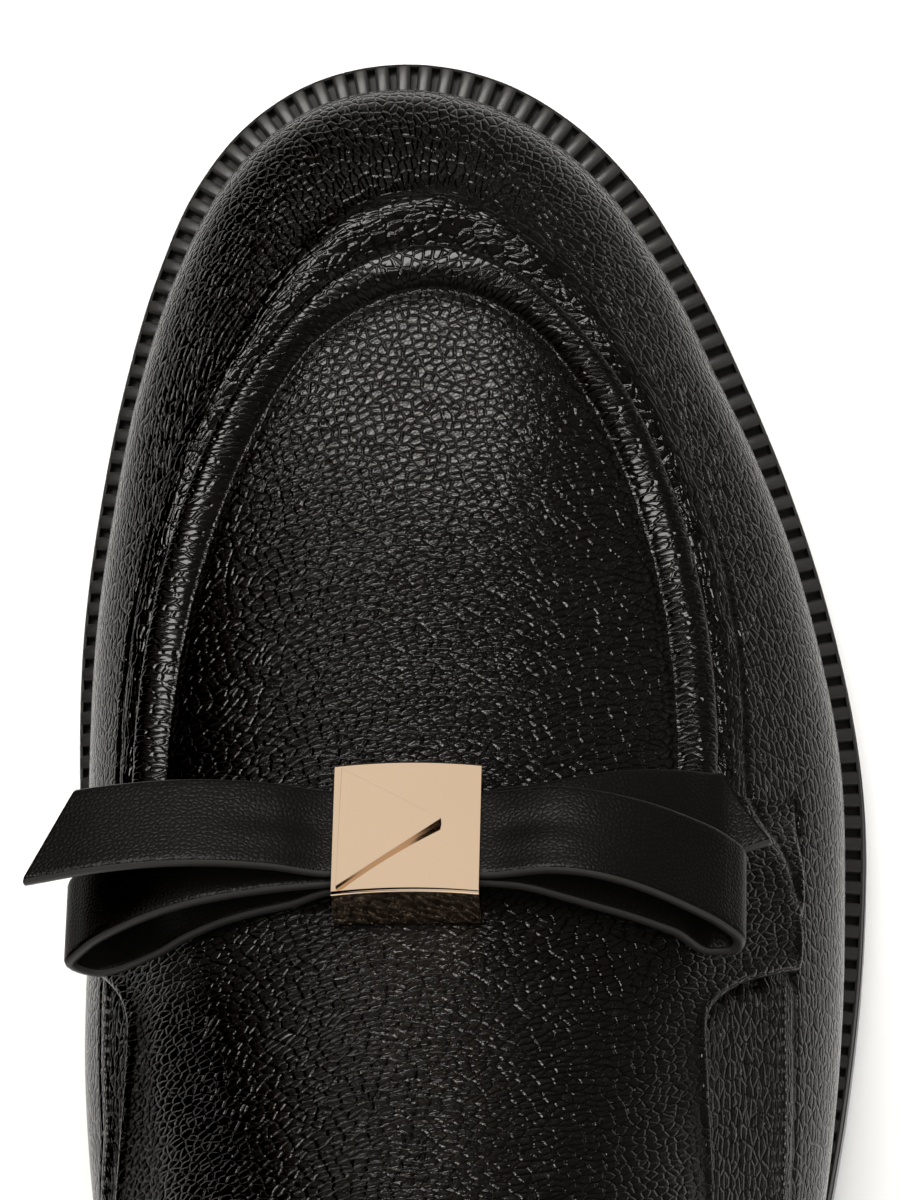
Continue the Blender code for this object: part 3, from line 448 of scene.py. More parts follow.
def columnProfile(station, angle):
    # one column of the last: its points by length of leather, and where pipe and ridge cross it
    shape = seamShape
    rises = np.linspace(0, math.pi / 2, shape["columnSamples"])
    points = lastPoints(station, angle, rises)
    if isOpen(station):
        over = points[:, 2] - along(collarShape, "height", points[:, 1])
        rises = np.linspace(0, float(np.interp(0.0, over, rises)), shape["columnSamples"])
        points = lastPoints(station, angle, rises)
    way = wayAlong(points)
    pipe = np.interp(riseAtReach(station, angle, apronReach(station, angle)), rises, way)
    toeShare = math.sin(angle) ** 2 if 0 < angle < math.pi else 0.0
    ridge = pipe - (shape["ridgeOutSide"] * (1 - toeShare) + shape["ridgeOutToe"] * toeShare)
    ahead = float(ease(station, *shape["ridgeBlend"]))
    if ahead < 1:
        name = "lateralRidge" if math.cos(angle) > 0 else "medialRidge"
        out = np.abs(points[:, 0])
        above = slice(int(out.argmax()), None)
        place = np.interp(along(shape, name, station), out[above][::-1], way[above][::-1])
        ridge = ridge * ahead + (1 - ahead) * place
    if isOpen(station):
        pipe = min(pipe, way[-1] - shape["pipeBelowRim"])
    ridge = min(ridge, pipe - shape["ridgeClear"])
    return {"rises": rises, "way": way, "pipe": pipe, "ridge": ridge, "toeShare": toeShare}


def foldDepth(station, side, outside):
    # how deep the flex folds press the leather in, by distance outside the pipe
    depth = np.zeros(len(outside))
    for fold in flexFolds:
        if fold["side"] != side:
            continue
        start = np.array(fold["from"])
        run = np.array(fold["to"]) - start
        place = np.stack([np.full(len(outside), station), outside], axis=1) - start
        share = np.clip(place @ run / (run @ run), 0, 1)
        away = np.linalg.norm(place - share[:, None] * run, axis=1)
        fade = np.sin(math.pi * np.clip(share, *seamShape["foldEnds"]))
        depth += fold["depth"] * hump(away, fold["width"]) * fade
    return depth


def seamRelief(station, angle, profile, way):
    # height of the leather over the last, and where it is stretched over the pipe or gathered
    shape = seamShape
    toeShare = profile["toeShare"]

    def sideToToe(name):
        return np.interp(toeShare, (0, 1), shape[name])

    inPipe = way - profile["pipe"]
    inRidge = way - profile["ridge"]
    radii = inPipe / shape["pipeRadius"]
    piped = float(ease(station, *shape["pipeFrom"]))
    ridged = float(ease(station, *shape["ridgeFade"])) if angle <= math.pi else 0.0
    across = np.clip(radii, -1, 1)
    across = across + sideToToe("pipeShift") * (1 - across**2)
    roll = np.clip(1 - np.abs(across) ** sideToToe("pipeCrown"), 0, None) ** shape["pipeRound"]
    roll = shape["pipeHeight"] * roll * (1 - sideToToe("pipeLean") * radii)
    besidePipe = np.abs(inPipe) - shape["pipeRadius"] - shape["grooveOut"]
    groove = shape["grooveDepth"] * hump(besidePipe, shape["grooveWidth"])
    # from the ridge the leather slopes down to the foot of the pipe
    foot = profile["pipe"] - shape["pipeRadius"] - profile["ridge"]
    slope = (np.sqrt(inRidge**2 + shape["ridgeRound"] ** 2) - shape["ridgeRound"]) / foot
    slope = np.where(inRidge > 0, np.clip(slope, 0, 1), 0.0)
    underPipe = np.clip((1 + radii) / shape["valleyFade"], 0, 1)
    valley = sideToToe("valleyDepth") * slope * (1 - underPipe)
    waves = 1 + sum(size * math.sin(station * pace + angle * turn + phase)
                    for size, pace, turn, phase in shape["ridgeWaves"])
    ridge = np.where(inRidge > 0, 1 - slope, hump(inRidge, shape["ridgeWidth"]))
    ridge = ridge * sideToToe("ridgeHeight") * waves
    run = station + lastShape["toeFan"] * min(angle, math.pi)
    toeward = shape["wrinkleSide"] + (1 - shape["wrinkleSide"]) * toeShare
    sway, (wander, pace) = shape["wrinkleSwing"], shape["wrinkleWander"]
    for inwards, tall, width, pitch, phase in shape["wrinkles"]:
        place = inRidge - inwards - wander * math.sin(run / pitch / pace + 2 * phase)
        swell = 1 - sway + sway * math.sin(run / pitch + phase)
        ridge = ridge + toeward * tall * swell * hump(place, width)
    crease = shape["creaseDepth"] * hump(inRidge + shape["creaseOut"], shape["creaseWidth"])
    crease = crease * (1 - ease(station, *shape["creaseEnd"]))
    lift = piped * (roll - groove - valley) + ridged * (ridge - crease)
    if angle in (0.0, math.pi):
        lift = lift - foldDepth(station, 1 if angle == 0 else -1, -inPipe)
    pipeMask = piped * np.clip((shape["maskReach"] - np.abs(radii)) / shape["maskFade"], 0, 1)
    share, width, shift = shape["valleyGather"]
    between = way - ((profile["pipe"] + profile["ridge"]) / 2 - shift)
    onRidge, inValley = hump(inRidge, shape["gatherWidth"]), hump(between, width)
    gathered = np.maximum(ridged * onRidge, share * piped * inValley)
    return lift, pipeMask, gathered * (1 - pipeMask)


# upper: one leather shell with its piping, and the lining inside it

upperShape = {
    "sideColumns": 150,
    "toeColumns": 88,
    "heelColumns": 60,
    "wallRows": 44,
    "seamRows": (28, 24, 10),  # outside the pipe, over it and inside it
    "apronRows": 46,
    "innerRows": 22,
    "seamLead": 4.0,  # the rows close up this far below the ridge
    "pipeEdge": 0.3,
    "apronFrom": 5.5,  # from the pipe's crown
    "rimGap": 1.0,
    "leather": 1.0,
    "lining": 0.72,
    "liningGap": 0.05,
    "liningColumns": (84, 40, 36),
    "liningRows": 30,
    "collarRoll": 0.4,
    "rollWidth": 0.7,
    "rimCrown": 0.35,
    "backSeam": 0.3,
    "backReach": 30.0,  # mm of wall for a radian round the heel
    "besideSaddle": (90.0, 172.0),
    "frontFrom": 150.0,
    "sideGrain": (0.75, 1.6),  # how the grain is drawn out along and up the side walls
    "toeGrain": (1.6, 0.85),  # and round the toe
    "apronGrain": (0.95, 1.7),  # across and along the middle of the apron
    "frontGrain": (1.3, 1.4),
    "frontSpan": (24.0, 58.0),  # ahead of the apron's widest place
    "apronTurn": -18.0,
    "toeFollow": 0.5,
    "relaxColumns": 60,
    "gatherFrom": 5,  # rows above the wall where the gathers start
    "gatherGrain": ((0.9, 1.2), (0.8, 1.25)),
    "pipeGrain": ((1.45, 0.6), (1.0, 0.95)),  # along and over the pipe, at the sides and the toe
}


def upperColumns(sides, toe, heel):
    stations = np.linspace(lastShape["heelAxis"], lastShape["toeAxis"], sides)
    columns = [(s, 0.0) for s in stations]
    columns += [(lastShape["toeAxis"], a) for a in np.linspace(0, math.pi, toe + 2)[1:-1]]
    columns += [(s, math.pi) for s in stations[::-1]]
    columns += [(lastShape["heelAxis"], math.pi + a) for a in np.linspace(0, math.pi, heel + 2)[1:-1]]
    return columns


def isOpen(station):
    return station < lastShape["throat"] - slack


def apronUv(x, y):
    # leather coordinates of the apron, saddle and tongue; the grain opens up towards the toe
    turn = math.radians(upperShape["apronTurn"])
    across = x * math.cos(turn) - y * math.sin(turn)
    back = x * math.sin(turn) + y * math.cos(turn)
    table = np.linspace(-120, 120, 481)  # mm, past both ends of apron and tongue
    front = ease(table, *upperShape["frontSpan"])
    step = upperShape["apronGrain"][1] * (1 - front) + upperShape["frontGrain"][1] * front
    v = np.interp(back, table, np.cumsum(step) * (table[1] - table[0]))
    front = ease(back, *upperShape["frontSpan"])
    u = across * (upperShape["apronGrain"][0] * (1 - front) + upperShape["frontGrain"][0] * front)
    return np.stack([u, v], axis=-1)


def buildUpper(leather):
    shape = upperShape
    sides, toe, relax = shape["sideColumns"], shape["toeColumns"], shape["relaxColumns"]
    columns = upperColumns(sides, toe, shape["heelColumns"])
    counts = (shape["wallRows"], *shape["seamRows"], shape["apronRows"])
    count, rows, inRows = len(columns), sum(counts), shape["innerRows"]
    pipeRow, apronRow = sum(counts[:2]), sum(counts[:3])
    pipeEdge = seamShape["pipeRadius"] + shape["pipeEdge"]
    outer, facing = np.zeros((2, count, rows, 3))
    inner = np.zeros((count, inRows, 3))
    rim = np.zeros((count, 3))
    ways = np.zeros((count, rows))
    masks = np.zeros((2, count, rows))
    toeShares, pipes = np.zeros((2, count))
    for i, (station, angle) in enumerate(columns):
        profile = columnProfile(station, angle)
        toeShares[i], pipes[i] = profile["toeShare"], profile["pipe"]
        end = profile["way"][-1]
        last = min(pipes[i] + shape["apronFrom"], end - shape["rimGap"])
        inside = min(pipes[i] + pipeEdge, last - shape["pipeEdge"])
        marks = (0, profile["ridge"] - shape["seamLead"], pipes[i] - pipeEdge, inside, last, end)
        way = [np.linspace(*span, n, endpoint=False) for span, n in zip(zip(marks, marks[1:]), counts[:-1])]
        ways[i] = way = np.concatenate([*way, np.linspace(last, end, counts[-1])])
        rise = np.interp(way, profile["way"], profile["rises"])
        lift, masks[0, i], masks[1, i] = seamRelief(station, angle, profile, way)
        facing[i] = lastNormals(station, angle, rise)
        if isOpen(station):
            lift = lift - shape["collarRoll"] * hump(way - end, shape["rollWidth"])
        if angle > math.pi:
            fromSeam = (angle - 1.5 * math.pi) * shape["backReach"]
            lift = lift - shape["backSeam"] * hump(fromSeam, shape["rollWidth"])
        outer[i] = lastPoints(station, angle, rise) + facing[i] * lift[:, None]
        rise = np.interp(np.linspace(0, end, inRows), profile["way"], profile["rises"])
        points = lastPoints(station, angle, rise)
        inner[i] = points - lastNormals(station, angle, rise) * shape["leather"]
        inner[i, 0, 2] = points[0, 2]
        rim[i] = (outer[i, -1] + inner[i, -1]) / 2 + (0, 0, shape["rimCrown"] * isOpen(station))
    low, high = shape["besideSaddle"]
    beside = [i for i, (s, a) in enumerate(columns) if low < s < high and a in (0.0, math.pi)]
    away = distanceTo(outer[beside], saddleBorder()) - saddleShape["grooveOut"]
    sunk = saddleShape["grooveDepth"] * hump(away, saddleShape["grooveWidth"])
    outer[beside] -= facing[beside] * sunk[..., None]

    # leather coordinates: round the wall and up it, drawn out as the leather was lasted
    share = toeShares[:, None]

    def grainOf(atSides, atToe):
        return np.array(atSides) * (1 - share) + np.array(atToe) * share

    steps = stepsRound(outer[:, shape["wallRows"] // 2])
    grain = grainOf(shape["sideGrain"], shape["toeGrain"])
    extra = np.zeros((count, rows))
    fan = slice(sides - 1, sides + toe)
    extra[fan] = shape["toeFollow"] * (stepsRound(outer)[fan] - steps[fan, None]) * grain[fan, :1]
    for start in (sides - 1 - relax, sides + toe):  # what the toe takes up is given back along the sides
        extra[start:start + relax] = -extra[fan].sum(axis=0) / 2 / relax
    u = np.concatenate([np.zeros((1, rows)), np.cumsum(steps[:, None] * grain[:, :1] + extra, axis=0)])
    v = ways * grain[:, 1:]
    plan = np.vstack([outer, outer[:1]])[..., :2] - seamShape["centre"]
    corners, flat = [gridUv(uv).reshape(count, rows - 1, 4, 2) for uv in (
        np.stack([u, np.vstack([v, v[:1]])], axis=-1), apronUv(plan[..., 0], plan[..., 1]))]
    front = np.array([station > shape["frontFrom"] for station, angle in columns])
    corners[front, apronRow:] = flat[front, apronRow:]
    gatherRow = shape["wallRows"] + shape["gatherFrom"]
    # the gathers and the pipe are laid out each along its own line
    for name, low, high in (("gatherGrain", gatherRow, pipeRow), ("pipeGrain", pipeRow, apronRow)):
        grain = grainOf(*shape[name])
        steps = stepsRound(outer[:, (low + high) // 2])
        u = np.concatenate([[0], np.cumsum(steps * grain[:, 0])])
        v = (ways - pipes[:, None]) * grain[:, 1:]
        own = gridUv(np.stack(np.broadcast_arrays(u[:, None], np.vstack([v, v[:1]])), axis=-1))
        corners[front, low:high] = own.reshape(count, rows - 1, 4, 2)[front, low:high]

    innerStart = count * rows
    rimStart = innerStart + count * inRows
    edges = []
    for i in range(count):
        j = (i + 1) % count
        edges.append((i * rows, innerStart + i * inRows, innerStart + j * inRows, j * rows))
        if isOpen(columns[i][0]) or isOpen(columns[j][0]):
            outTop = [(k + 1) * rows - 1 for k in (i, j)]
            inTop = [innerStart + (k + 1) * inRows - 1 for k in (i, j)]
            edges.append((outTop[0], outTop[1], rimStart + j, rimStart + i))
            edges.append((rimStart + i, rimStart + j, inTop[1], inTop[0]))
    inFaces = gridFaces(count, inRows, innerStart, closed=True, flip=True)
    faces = np.vstack([gridFaces(count, rows, closed=True), inFaces, edges])
    edgeUv = np.tile(np.array([[0, 0], [1, 0], [1, 1], [0, 1]], float), (len(edges), 1, 1))
    uv = np.vstack([corners.reshape(-1, 4, 2), np.zeros((len(inFaces), 4, 2)), edgeUv])
    points = np.vstack([outer.reshape(-1, 3), inner.reshape(-1, 3), rim])
    piece = makePiece("upper_leather", points, faces, [leather], cornerUv=uv)
    for name, mask in zip(("piped", "gathered"), masks):
        paintPoints(piece, name, np.concatenate([mask.ravel(), np.zeros(len(points) - mask.size)]))
    dropLoose(piece)
    weld(piece)
    return piece


def dropLoose(piece):
    bm = bmesh.new()
    bm.from_mesh(piece.data)
    bmesh.ops.delete(bm, geom=[v for v in bm.verts if not v.link_faces], context="VERTS")
    bm.to_mesh(piece.data)
    bm.free()


def buildLining(lining):
    shape = upperShape
    columns = upperColumns(*shape["liningColumns"])
    rows, count = shape["liningRows"], len(columns)
    size = count * rows
    depth = shape["leather"] + shape["liningGap"]
    shells = np.zeros((2, count, rows, 3))
    for i, (station, angle) in enumerate(columns):
        profile = columnProfile(station, angle)
        rise = np.interp(np.linspace(0, profile["way"][-1], rows), profile["way"], profile["rises"])
        points = lastPoints(station, angle, rise)
        normals = lastNormals(station, angle, rise)
        for shell, inside in zip(shells, (depth, depth + shape["lining"])):
            shell[i] = points - normals * inside
            shell[i, 0, 2] = points[0, 2]
    edges = []
    for i in range(count):
        j = (i + 1) % count
        a, b = i * rows, j * rows
        edges.append((a, a + size, b + size, b))
        if isOpen(columns[i][0]) or isOpen(columns[j][0]):
            a, b = a + rows - 1, b + rows - 1
            edges.append((a, b, b + size, a + size))
    outFaces = gridFaces(count, rows, closed=True)
    faces = np.vstack([outFaces, gridFaces(count, rows, size, closed=True, flip=True), edges])
    piece = makePiece("upper_lining", shells.reshape(-1, 3), faces, [lining])
    weld(piece, softFold)
    return piece


# saddle: a strap over the instep whose wings end on the walls and whose tongue runs back over the throat

saddleShape = {
    "gap": 0.4,
    "thick": 1.7,
    "front": 167.5,
    "skive": (157.0, 167.5),  # pared down to almost nothing here, under the bow
    "tongueEnd": 95.0,
    "tongueHalf": 32.4,
    "corner": 16.0,
    "wingRear": (136.0, 146.0),
    "wingCorner": 2.4,
    "wingRise": 31.0,
    "halfRows": 64,
    "rowCrowding": 1.5,  # the rows stand closer towards the cut edge
    "stations": (15, 26, 34, 24),  # on the tongue's end, the tongue, the wing's corner and the wing
    "cornerCrowding": 1.6,
    "borderSamples": 2400,
    "endSamples": 60,
    "pared": 0.06,  # share of the thickness left
    "seat": 0.12,
    "reliefBy": 152.0,  # station where the seam below shows in full
    "edgeRound": 0.5,
    "edgeLip": 0.32,  # the turned edge stands up a little
    "lipIn": 0.85,
    "lipWidth": 0.55,
    "grooveDepth": 0.8,
    "grooveOut": 0.5,
    "grooveWidth": 0.45,
}


def saddleEdgeRise(station, angle):
    shape = saddleShape
    centre = float(along(lastShape, "x", station))
    half = shape["tongueHalf"] + math.cos(angle) * (seamShape["centre"][0] - centre) / 2
    past = (shape["tongueEnd"] + shape["corner"] - station) / shape["corner"]
    if past > 0:
        half = half - shape["corner"] * (1 - math.sqrt(max(0.0, 1 - past**2)))
    tongue = riseAtReach(station, angle, half)
    low, high = shape["wingRear"]
    wing = min(1.0, max(0.0, (station - low) / (high - low))) ** shape["wingCorner"]
    return tongue * (1 - wing) + math.radians(shape["wingRise"]) * wing


def saddleStations():
    shape = saddleShape
    onEnd, onTongue, onCorner, onWing = shape["stations"]
    low, high = shape["wingRear"]
    tip = shape["tongueEnd"] + shape["corner"] * (1 - np.cos(np.linspace(0, math.pi / 2, onEnd)))
    corner = low + (high - low) * (1 - (1 - np.linspace(0, 1, onCorner)) ** shape["cornerCrowding"])
    back = np.linspace(tip[-1], low, onTongue)
    wing = np.linspace(high, shape["front"], onWing)
    return np.concatenate([tip[:-1], back[:-1], corner[:-1], wing])


def saddleBorder():
    # the cut edges on the last, both sides and the tongue's end, as one cloud of points
    shape = saddleShape
    end = shape["tongueEnd"]
    lines = []
    for angle in (0.0, math.pi):
        lines.append([lastPoints(s, angle, saddleEdgeRise(s, angle)) for s in saddleStations()])
        rises = np.linspace(saddleEdgeRise(end, angle), math.pi / 2, shape["endSamples"])
        lines.append(lastPoints(end, angle, rises))
    cloud = KDTree(shape["borderSamples"] * len(lines))
    for k, place in enumerate(np.vstack([curveThrough(line, shape["borderSamples"]) for line in lines])):
        cloud.insert(place, k)
    cloud.balance()
    return cloud


def distanceTo(points, cloud):
    away = [cloud.find(place)[2] for place in points.reshape(-1, 3)]
    return np.array(away).reshape(points.shape[:-1])


def buildSaddle(leather, edgePaint):
    shape = saddleShape
    stations = saddleStations()
    count, half = len(stations), shape["halfRows"]
    rows = 2 * half - 1
    points, facing = np.zeros((2, count, rows, 3))
    masks = np.zeros((2, count, rows))
    full, lifts = np.ones((2, count, rows))
    spread = np.linspace(0, 1, half) ** shape["rowCrowding"]
    for i, station in enumerate(stations):
        full[i] = max(1 - float(ease(station, *shape["skive"])), shape["pared"])
        for angle, place in ((0.0, slice(0, half)), (math.pi, slice(half - 1, rows))):
            edge = saddleEdgeRise(station, angle)
            rise = edge + (math.pi / 2 - edge) * spread
            height = shape["gap"] + shape["thick"] - shape["seat"]
            lift = np.full(half, shape["seat"] + height * full[i, 0])
            marks = np.zeros((2, half))
            if station >= lastShape["throat"]:
                profile = columnProfile(station, angle)
                way = np.interp(rise, profile["rises"], profile["way"])
                relief, marks[0], marks[1] = seamRelief(station, angle, profile, way)
                lift = lift + relief * float(ease(station, lastShape["throat"], shape["reliefBy"]))
            order = slice(None) if angle == 0 else slice(None, None, -1)
            points[i, place] = lastPoints(station, angle, rise)[order]
            facing[i, place] = lastNormals(station, angle, rise)[order]
            lifts[i, place] = lift[order]
            masks[:, i, place] = marks[:, order]
    under = points + facing * (lifts - shape["thick"] * full)[..., None]
    away = distanceTo(points, saddleBorder())
    lifts += shape["edgeLip"] * full * hump(away - shape["lipIn"], shape["lipWidth"])
    short = np.clip(1 - away / shape["edgeRound"], 0, 1)
    lifts -= shape["edgeRound"] * full * (1 - np.sqrt(1 - short**2))
    points += facing * lifts[..., None]
    # leather coordinates by length over the instep, not by plan, as the sides fall steeply
    steps = np.linalg.norm(np.diff(points, axis=1), axis=2)
    across = np.concatenate([np.zeros((count, 1)), -np.cumsum(steps, axis=1)], axis=1)
    across = across - across[:, half - 1:half]
    ahead = wayAlong(points[:, half - 1])
    ahead = np.broadcast_to((ahead - ahead[-1])[:, None], across.shape)
    size = count * rows
    index = np.arange(size).reshape(count, rows)
    border = np.concatenate([index[:, 0], index[-1, 1:], index[-2::-1, -1], index[0, -2:0:-1]])
    after = np.roll(border, -1)
    rim = np.stack([after, border, border + size, after + size], axis=-1)
    faces = np.vstack([gridFaces(count, rows), gridFaces(count, rows, size, flip=True), rim])
    uv = np.vstack([gridUv(apronUv(across, ahead)), gridUv(np.stack([across, across], axis=-1)),
                    np.zeros((len(rim), 4, 2))])
    slots = np.repeat([0, 1], [len(uv) - len(rim), len(rim)])
    points = np.vstack([points.reshape(-1, 3), under.reshape(-1, 3)])
    piece = makePiece("saddle_leather", points, faces, [leather, edgePaint], slots, uv)
    for name, mask in zip(("piped", "gathered"), masks):
        paintPoints(piece, name, np.concatenate([mask.ravel(), mask.ravel()]))
    weld(piece, softFold)
    return piece


# bow: two loops and two tails of folded strap, pinched by the knot

bowShape = {
    "x": -4.4,
    "station": 156.2,
    "width": 12.0,
    "thick": 1.7,
    "edgeRadius": 0.75,
    "pinched": 1.5,  # thickness inside the knot
    "pinchRun": 8.0,
    # sideways and out from the leather, along the strap
    "lateralLoop": [(18, 7.4), (26, 5.8), (32.8, 2.2), (37.6, -1.8), (39.3, -4.6), (38.6, -6.9),
                    (36.2, -7.3)],
    "medialLoop": [(18, 3.2), (27, 1.0), (34, -2.8), (39.2, -7.4), (41.0, -10.8), (38.8, -12.7)],
    "medialTail": [(16, 7.4), (25, 8.4), (36, 7.2), (45.6, 4.4)],
    "loopReturns": np.linspace(31, 14, 5),
    "loopLowest": -11.5,
    "loopTurn": -3.0,
    "loopHang": (20.0, 40.0),
    "loopHeelDrop": 2.0,
    "loopSag": 2.2,
    "sagSpan": (12.0, 24.0, 29.0, 38.5),
    "tailReach": 43.0,
    "tailTurn": 18.5,
    "tailLowest": -10.0,
    "tailFrom": 15.0,
    "tailPoints": 6,
    "endCut": 0.14,
    "endRings": [0.82, 0.5],  # two smaller rings round the cut end over
    "endTaper": 0.12,
    "endRun": 1.2,
    "pathSamples": 600,
    "steps": 130,
    "cornerPoints": 6,
    "flatPoints": 13,
    "paintReach": 0.32,  # how far the edge paint comes over the edge
    "underUv": 20.0,  # mm between the grain of the upper and the lower face
    "pleatDepth": 0.3,
    "pleatRun": (9.0, 13.0, 13.0, 26.0),
    "pleatWave": (14.0, 1.0),
    "pressed": 0.6,  # of the thickness: how far the strap's middle lies over the leather
    "rayReach": 60.0,  # where the rays that look for the leather start
    "bearingPoints": 7,
}
knotShape = {
    "width": 17.6,
    "length": 18.6,
    "wall": 0.8,
    "crown": 0.8,
    "gap": 0.3,
    "edge": 0.55,
    "edgeSteps": 4,
    "columns": 25,
    "fold": [(-0.9, -0.9, 0.3), (0.48, -0.02, 1.3), (-0.93, 0.93, 0.75)],  # shares of half sizes, height
    "foldSunk": 0.4,
    "foldEdge": 0.2,
    "sharpAngle": 28.0,
    "bevelAngle": 24.0,
    "mouth": (3.0, 0.8),  # the straps run straight from inside the mouth to outside it
}


class BowSeat:
    # the bow's axes on the vamp: sideways, back towards the heel, and out from the leather
    def __init__(self, names):
        nudge = 5.0
        station = bowShape["station"]
        fall = along(lastShape, "height", station + nudge) - along(lastShape, "height", station - nudge)
        pitch = math.atan2(-float(fall), 2 * nudge)
        self.back = Vector((0, -math.cos(pitch), math.sin(pitch)))
        self.out = Vector((0, math.sin(pitch), math.cos(pitch)))
        self.trees = [self.treeOf(name) for name in names]
        self.origin = Vector((bowShape["x"], station, float(along(lastShape, "height", station))))
        self.origin = self.point(0, 0, self.surface(0, 0))

    def treeOf(self, name):
        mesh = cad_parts[name].data
        points = [Vector(v.co) / mm - Vector(toFrame) for v in mesh.vertices]
        return BVHTree.FromPolygons(points, [tuple(p.vertices) for p in mesh.polygons])

    def point(self, x, back, out):
        return self.origin + Vector((x, 0, 0)) + self.back * back + self.out * out

    def surface(self, x, back):
        reach = bowShape["rayReach"]
        start = self.point(x, back, reach)
        hits = [tree.ray_cast(start, -self.out)[0] for tree in self.trees]
        return max((self.out.dot(hit - self.origin) for hit in hits if hit), default=-reach)

    def bearing(self, x, turn):
        backs = np.linspace(-0.5, 0.5, bowShape["bearingPoints"]) * (bowShape["width"] + 1)
        return max(self.surface(x, back - swing(x, turn)) for back in backs)


def swing(x, turn):
    straight = knotShape["width"] / 6  # inside the knot the strap doesn't turn
    return max(0.0, abs(x) - straight) * math.tan(turn)


def restHeight(bearing):
    return bearing + knotShape["gap"] * 1.5 + bowShape["thick"] * bowShape["pressed"]


def knotLead(sign, level):
    half = knotShape["width"] / 2
    inside, outside = knotShape["mouth"]
    return [(x * sign, level) for x in (knotShape["gap"], half - inside, half + outside)]


def knotLevels():
    first = 2 * knotShape["gap"] + knotShape["wall"] + bowShape["pinched"] / 2
    return [first + layer * (bowShape["pinched"] + knotShape["gap"]) for layer in range(3)]


def loopPath(seat, sign, over, start, end):
    turn = math.radians(bowShape["loopTurn"])
    path = knotLead(sign, start) + [(x * sign, out) for x, out in over]
    for x in bowShape["loopReturns"] * sign:
        path.append((x, restHeight(max(seat.bearing(x, turn), bowShape["loopLowest"]))))
    return path + knotLead(sign, end)[::-1]


def strapSection():
    # shares of the width and thickness round the strap, and which faces carry edge paint
    halfWidth, halfThick, radius = bowShape["width"] / 2, bowShape["thick"] / 2, bowShape["edgeRadius"]
    corner = np.linspace(0, math.pi / 2, bowShape["cornerPoints"])
    flat = np.linspace(-1, 1, bowShape["flatPoints"])[1:-1] * (halfWidth - radius)
    points = []
    for k in range(4):
        turn = k * math.pi / 2
        cx = (halfWidth - radius) * (1 if k in (0, 3) else -1)
        cy = (halfThick - radius) * (1 if k in (0, 1) else -1)
        points += [(cx + radius * math.cos(turn + a), cy + radius * math.sin(turn + a)) for a in corner]
        if k == 0:
            points += [(x, halfThick) for x in flat[::-1]]
        if k == 2:
            points += [(x, -halfThick) for x in flat]
    points = np.array(points)
    middles = (points + np.roll(points, -1, axis=0)) / 2
    painted = np.abs(middles[:, 0]) > halfWidth - bowShape["paintReach"]
    return points / (bowShape["width"], bowShape["thick"]), painted


def buildStrap(name, seat, path, materials, turn=0.0, endCut=0.0, heelDrop=0.0, sag=0.0, openEnd=False):
    shape = bowShape
    section, painted = strapSection()
    line = curveThrough(path, shape["pathSamples"])
    ahead = unitRows(np.gradient(line, axis=0))
    length = wayAlong(line)
    endRings = shape["endRings"] if openEnd else []
    places = list(np.linspace(0, 1, shape["steps"])) + [1.0] * len(endRings)
    sizes = [1.0] * shape["steps"] + endRings
    mouth = knotShape["width"] / 2
    wave, phase = shape["pleatWave"]
    rows, uv = [], []
    for way, size in zip(places, sizes):
        ring, ringUv = [], []
        for b, f in section:
            back = b * shape["width"] * (1 - (1 - size) * shape["endTaper"])
            place = way * (1 - endCut * (0.5 - b)) * (len(line) - 1) + (1 - size) * shape["endRun"]
            k = int(min(place, len(line) - 2))
            share = place - k
            x, out = line[k] * (1 - share) + line[k + 1] * share
            facing = unitRows(ahead[k] * (1 - min(share, 1)) + ahead[k + 1] * min(share, 1))
            out -= heelDrop * (0.5 + b) * float(ease(abs(x), *shape["loopHang"]))
            if ahead[k, 0] * x < 0:  # the lower layer hangs away from the tail towards the heel
                out -= sag * (0.5 + b) * riseAndFall(abs(x), *shape["sagSpan"])
            outside = float(ease(abs(x), mouth, mouth + shape["pinchRun"]))
            thick = shape["pinched"] + (shape["thick"] - shape["pinched"]) * outside
            pleat = riseAndFall(abs(x), *shape["pleatRun"]) * (0.5 + 0.5 * math.cos(b * wave + phase))
            out -= pleat * shape["pleatDepth"] * (1 - abs(2 * b))
            face = f * thick * size
            side = x - facing[1] * face
            ring.append(seat.point(side, back - swing(side, turn), out + facing[0] * face))
            under = shape["underUv"] if f < 0 else 0
            ringUv.append((np.interp(place, np.arange(len(length)), length), back + under))
        rows.append(ring)
        uv.append(ringUv + ringUv[:1])
    count, around = len(rows), len(section)
    uv = np.array(uv)
    corners = np.stack([uv[:-1, :-1], uv[:-1, 1:], uv[1:, 1:], uv[1:, :-1]], axis=2).reshape(-1, 2)
    corners = np.vstack([corners, np.zeros((2 * around, 2))])
    slots = np.tile(painted.astype(int), count - 1)
    if openEnd:
        slots[-len(endRings) * around:] = 1
    first, last = range(around), range((count - 1) * around, count * around)
    faces = ringFaces(count, around) + [list(first), list(last)[::-1]]
    points = np.array(rows).reshape(-1, 3)
    piece = makePiece(name, points, faces, materials, np.append(slots, [1, 1]), corners)
    weld(piece)
    return piece


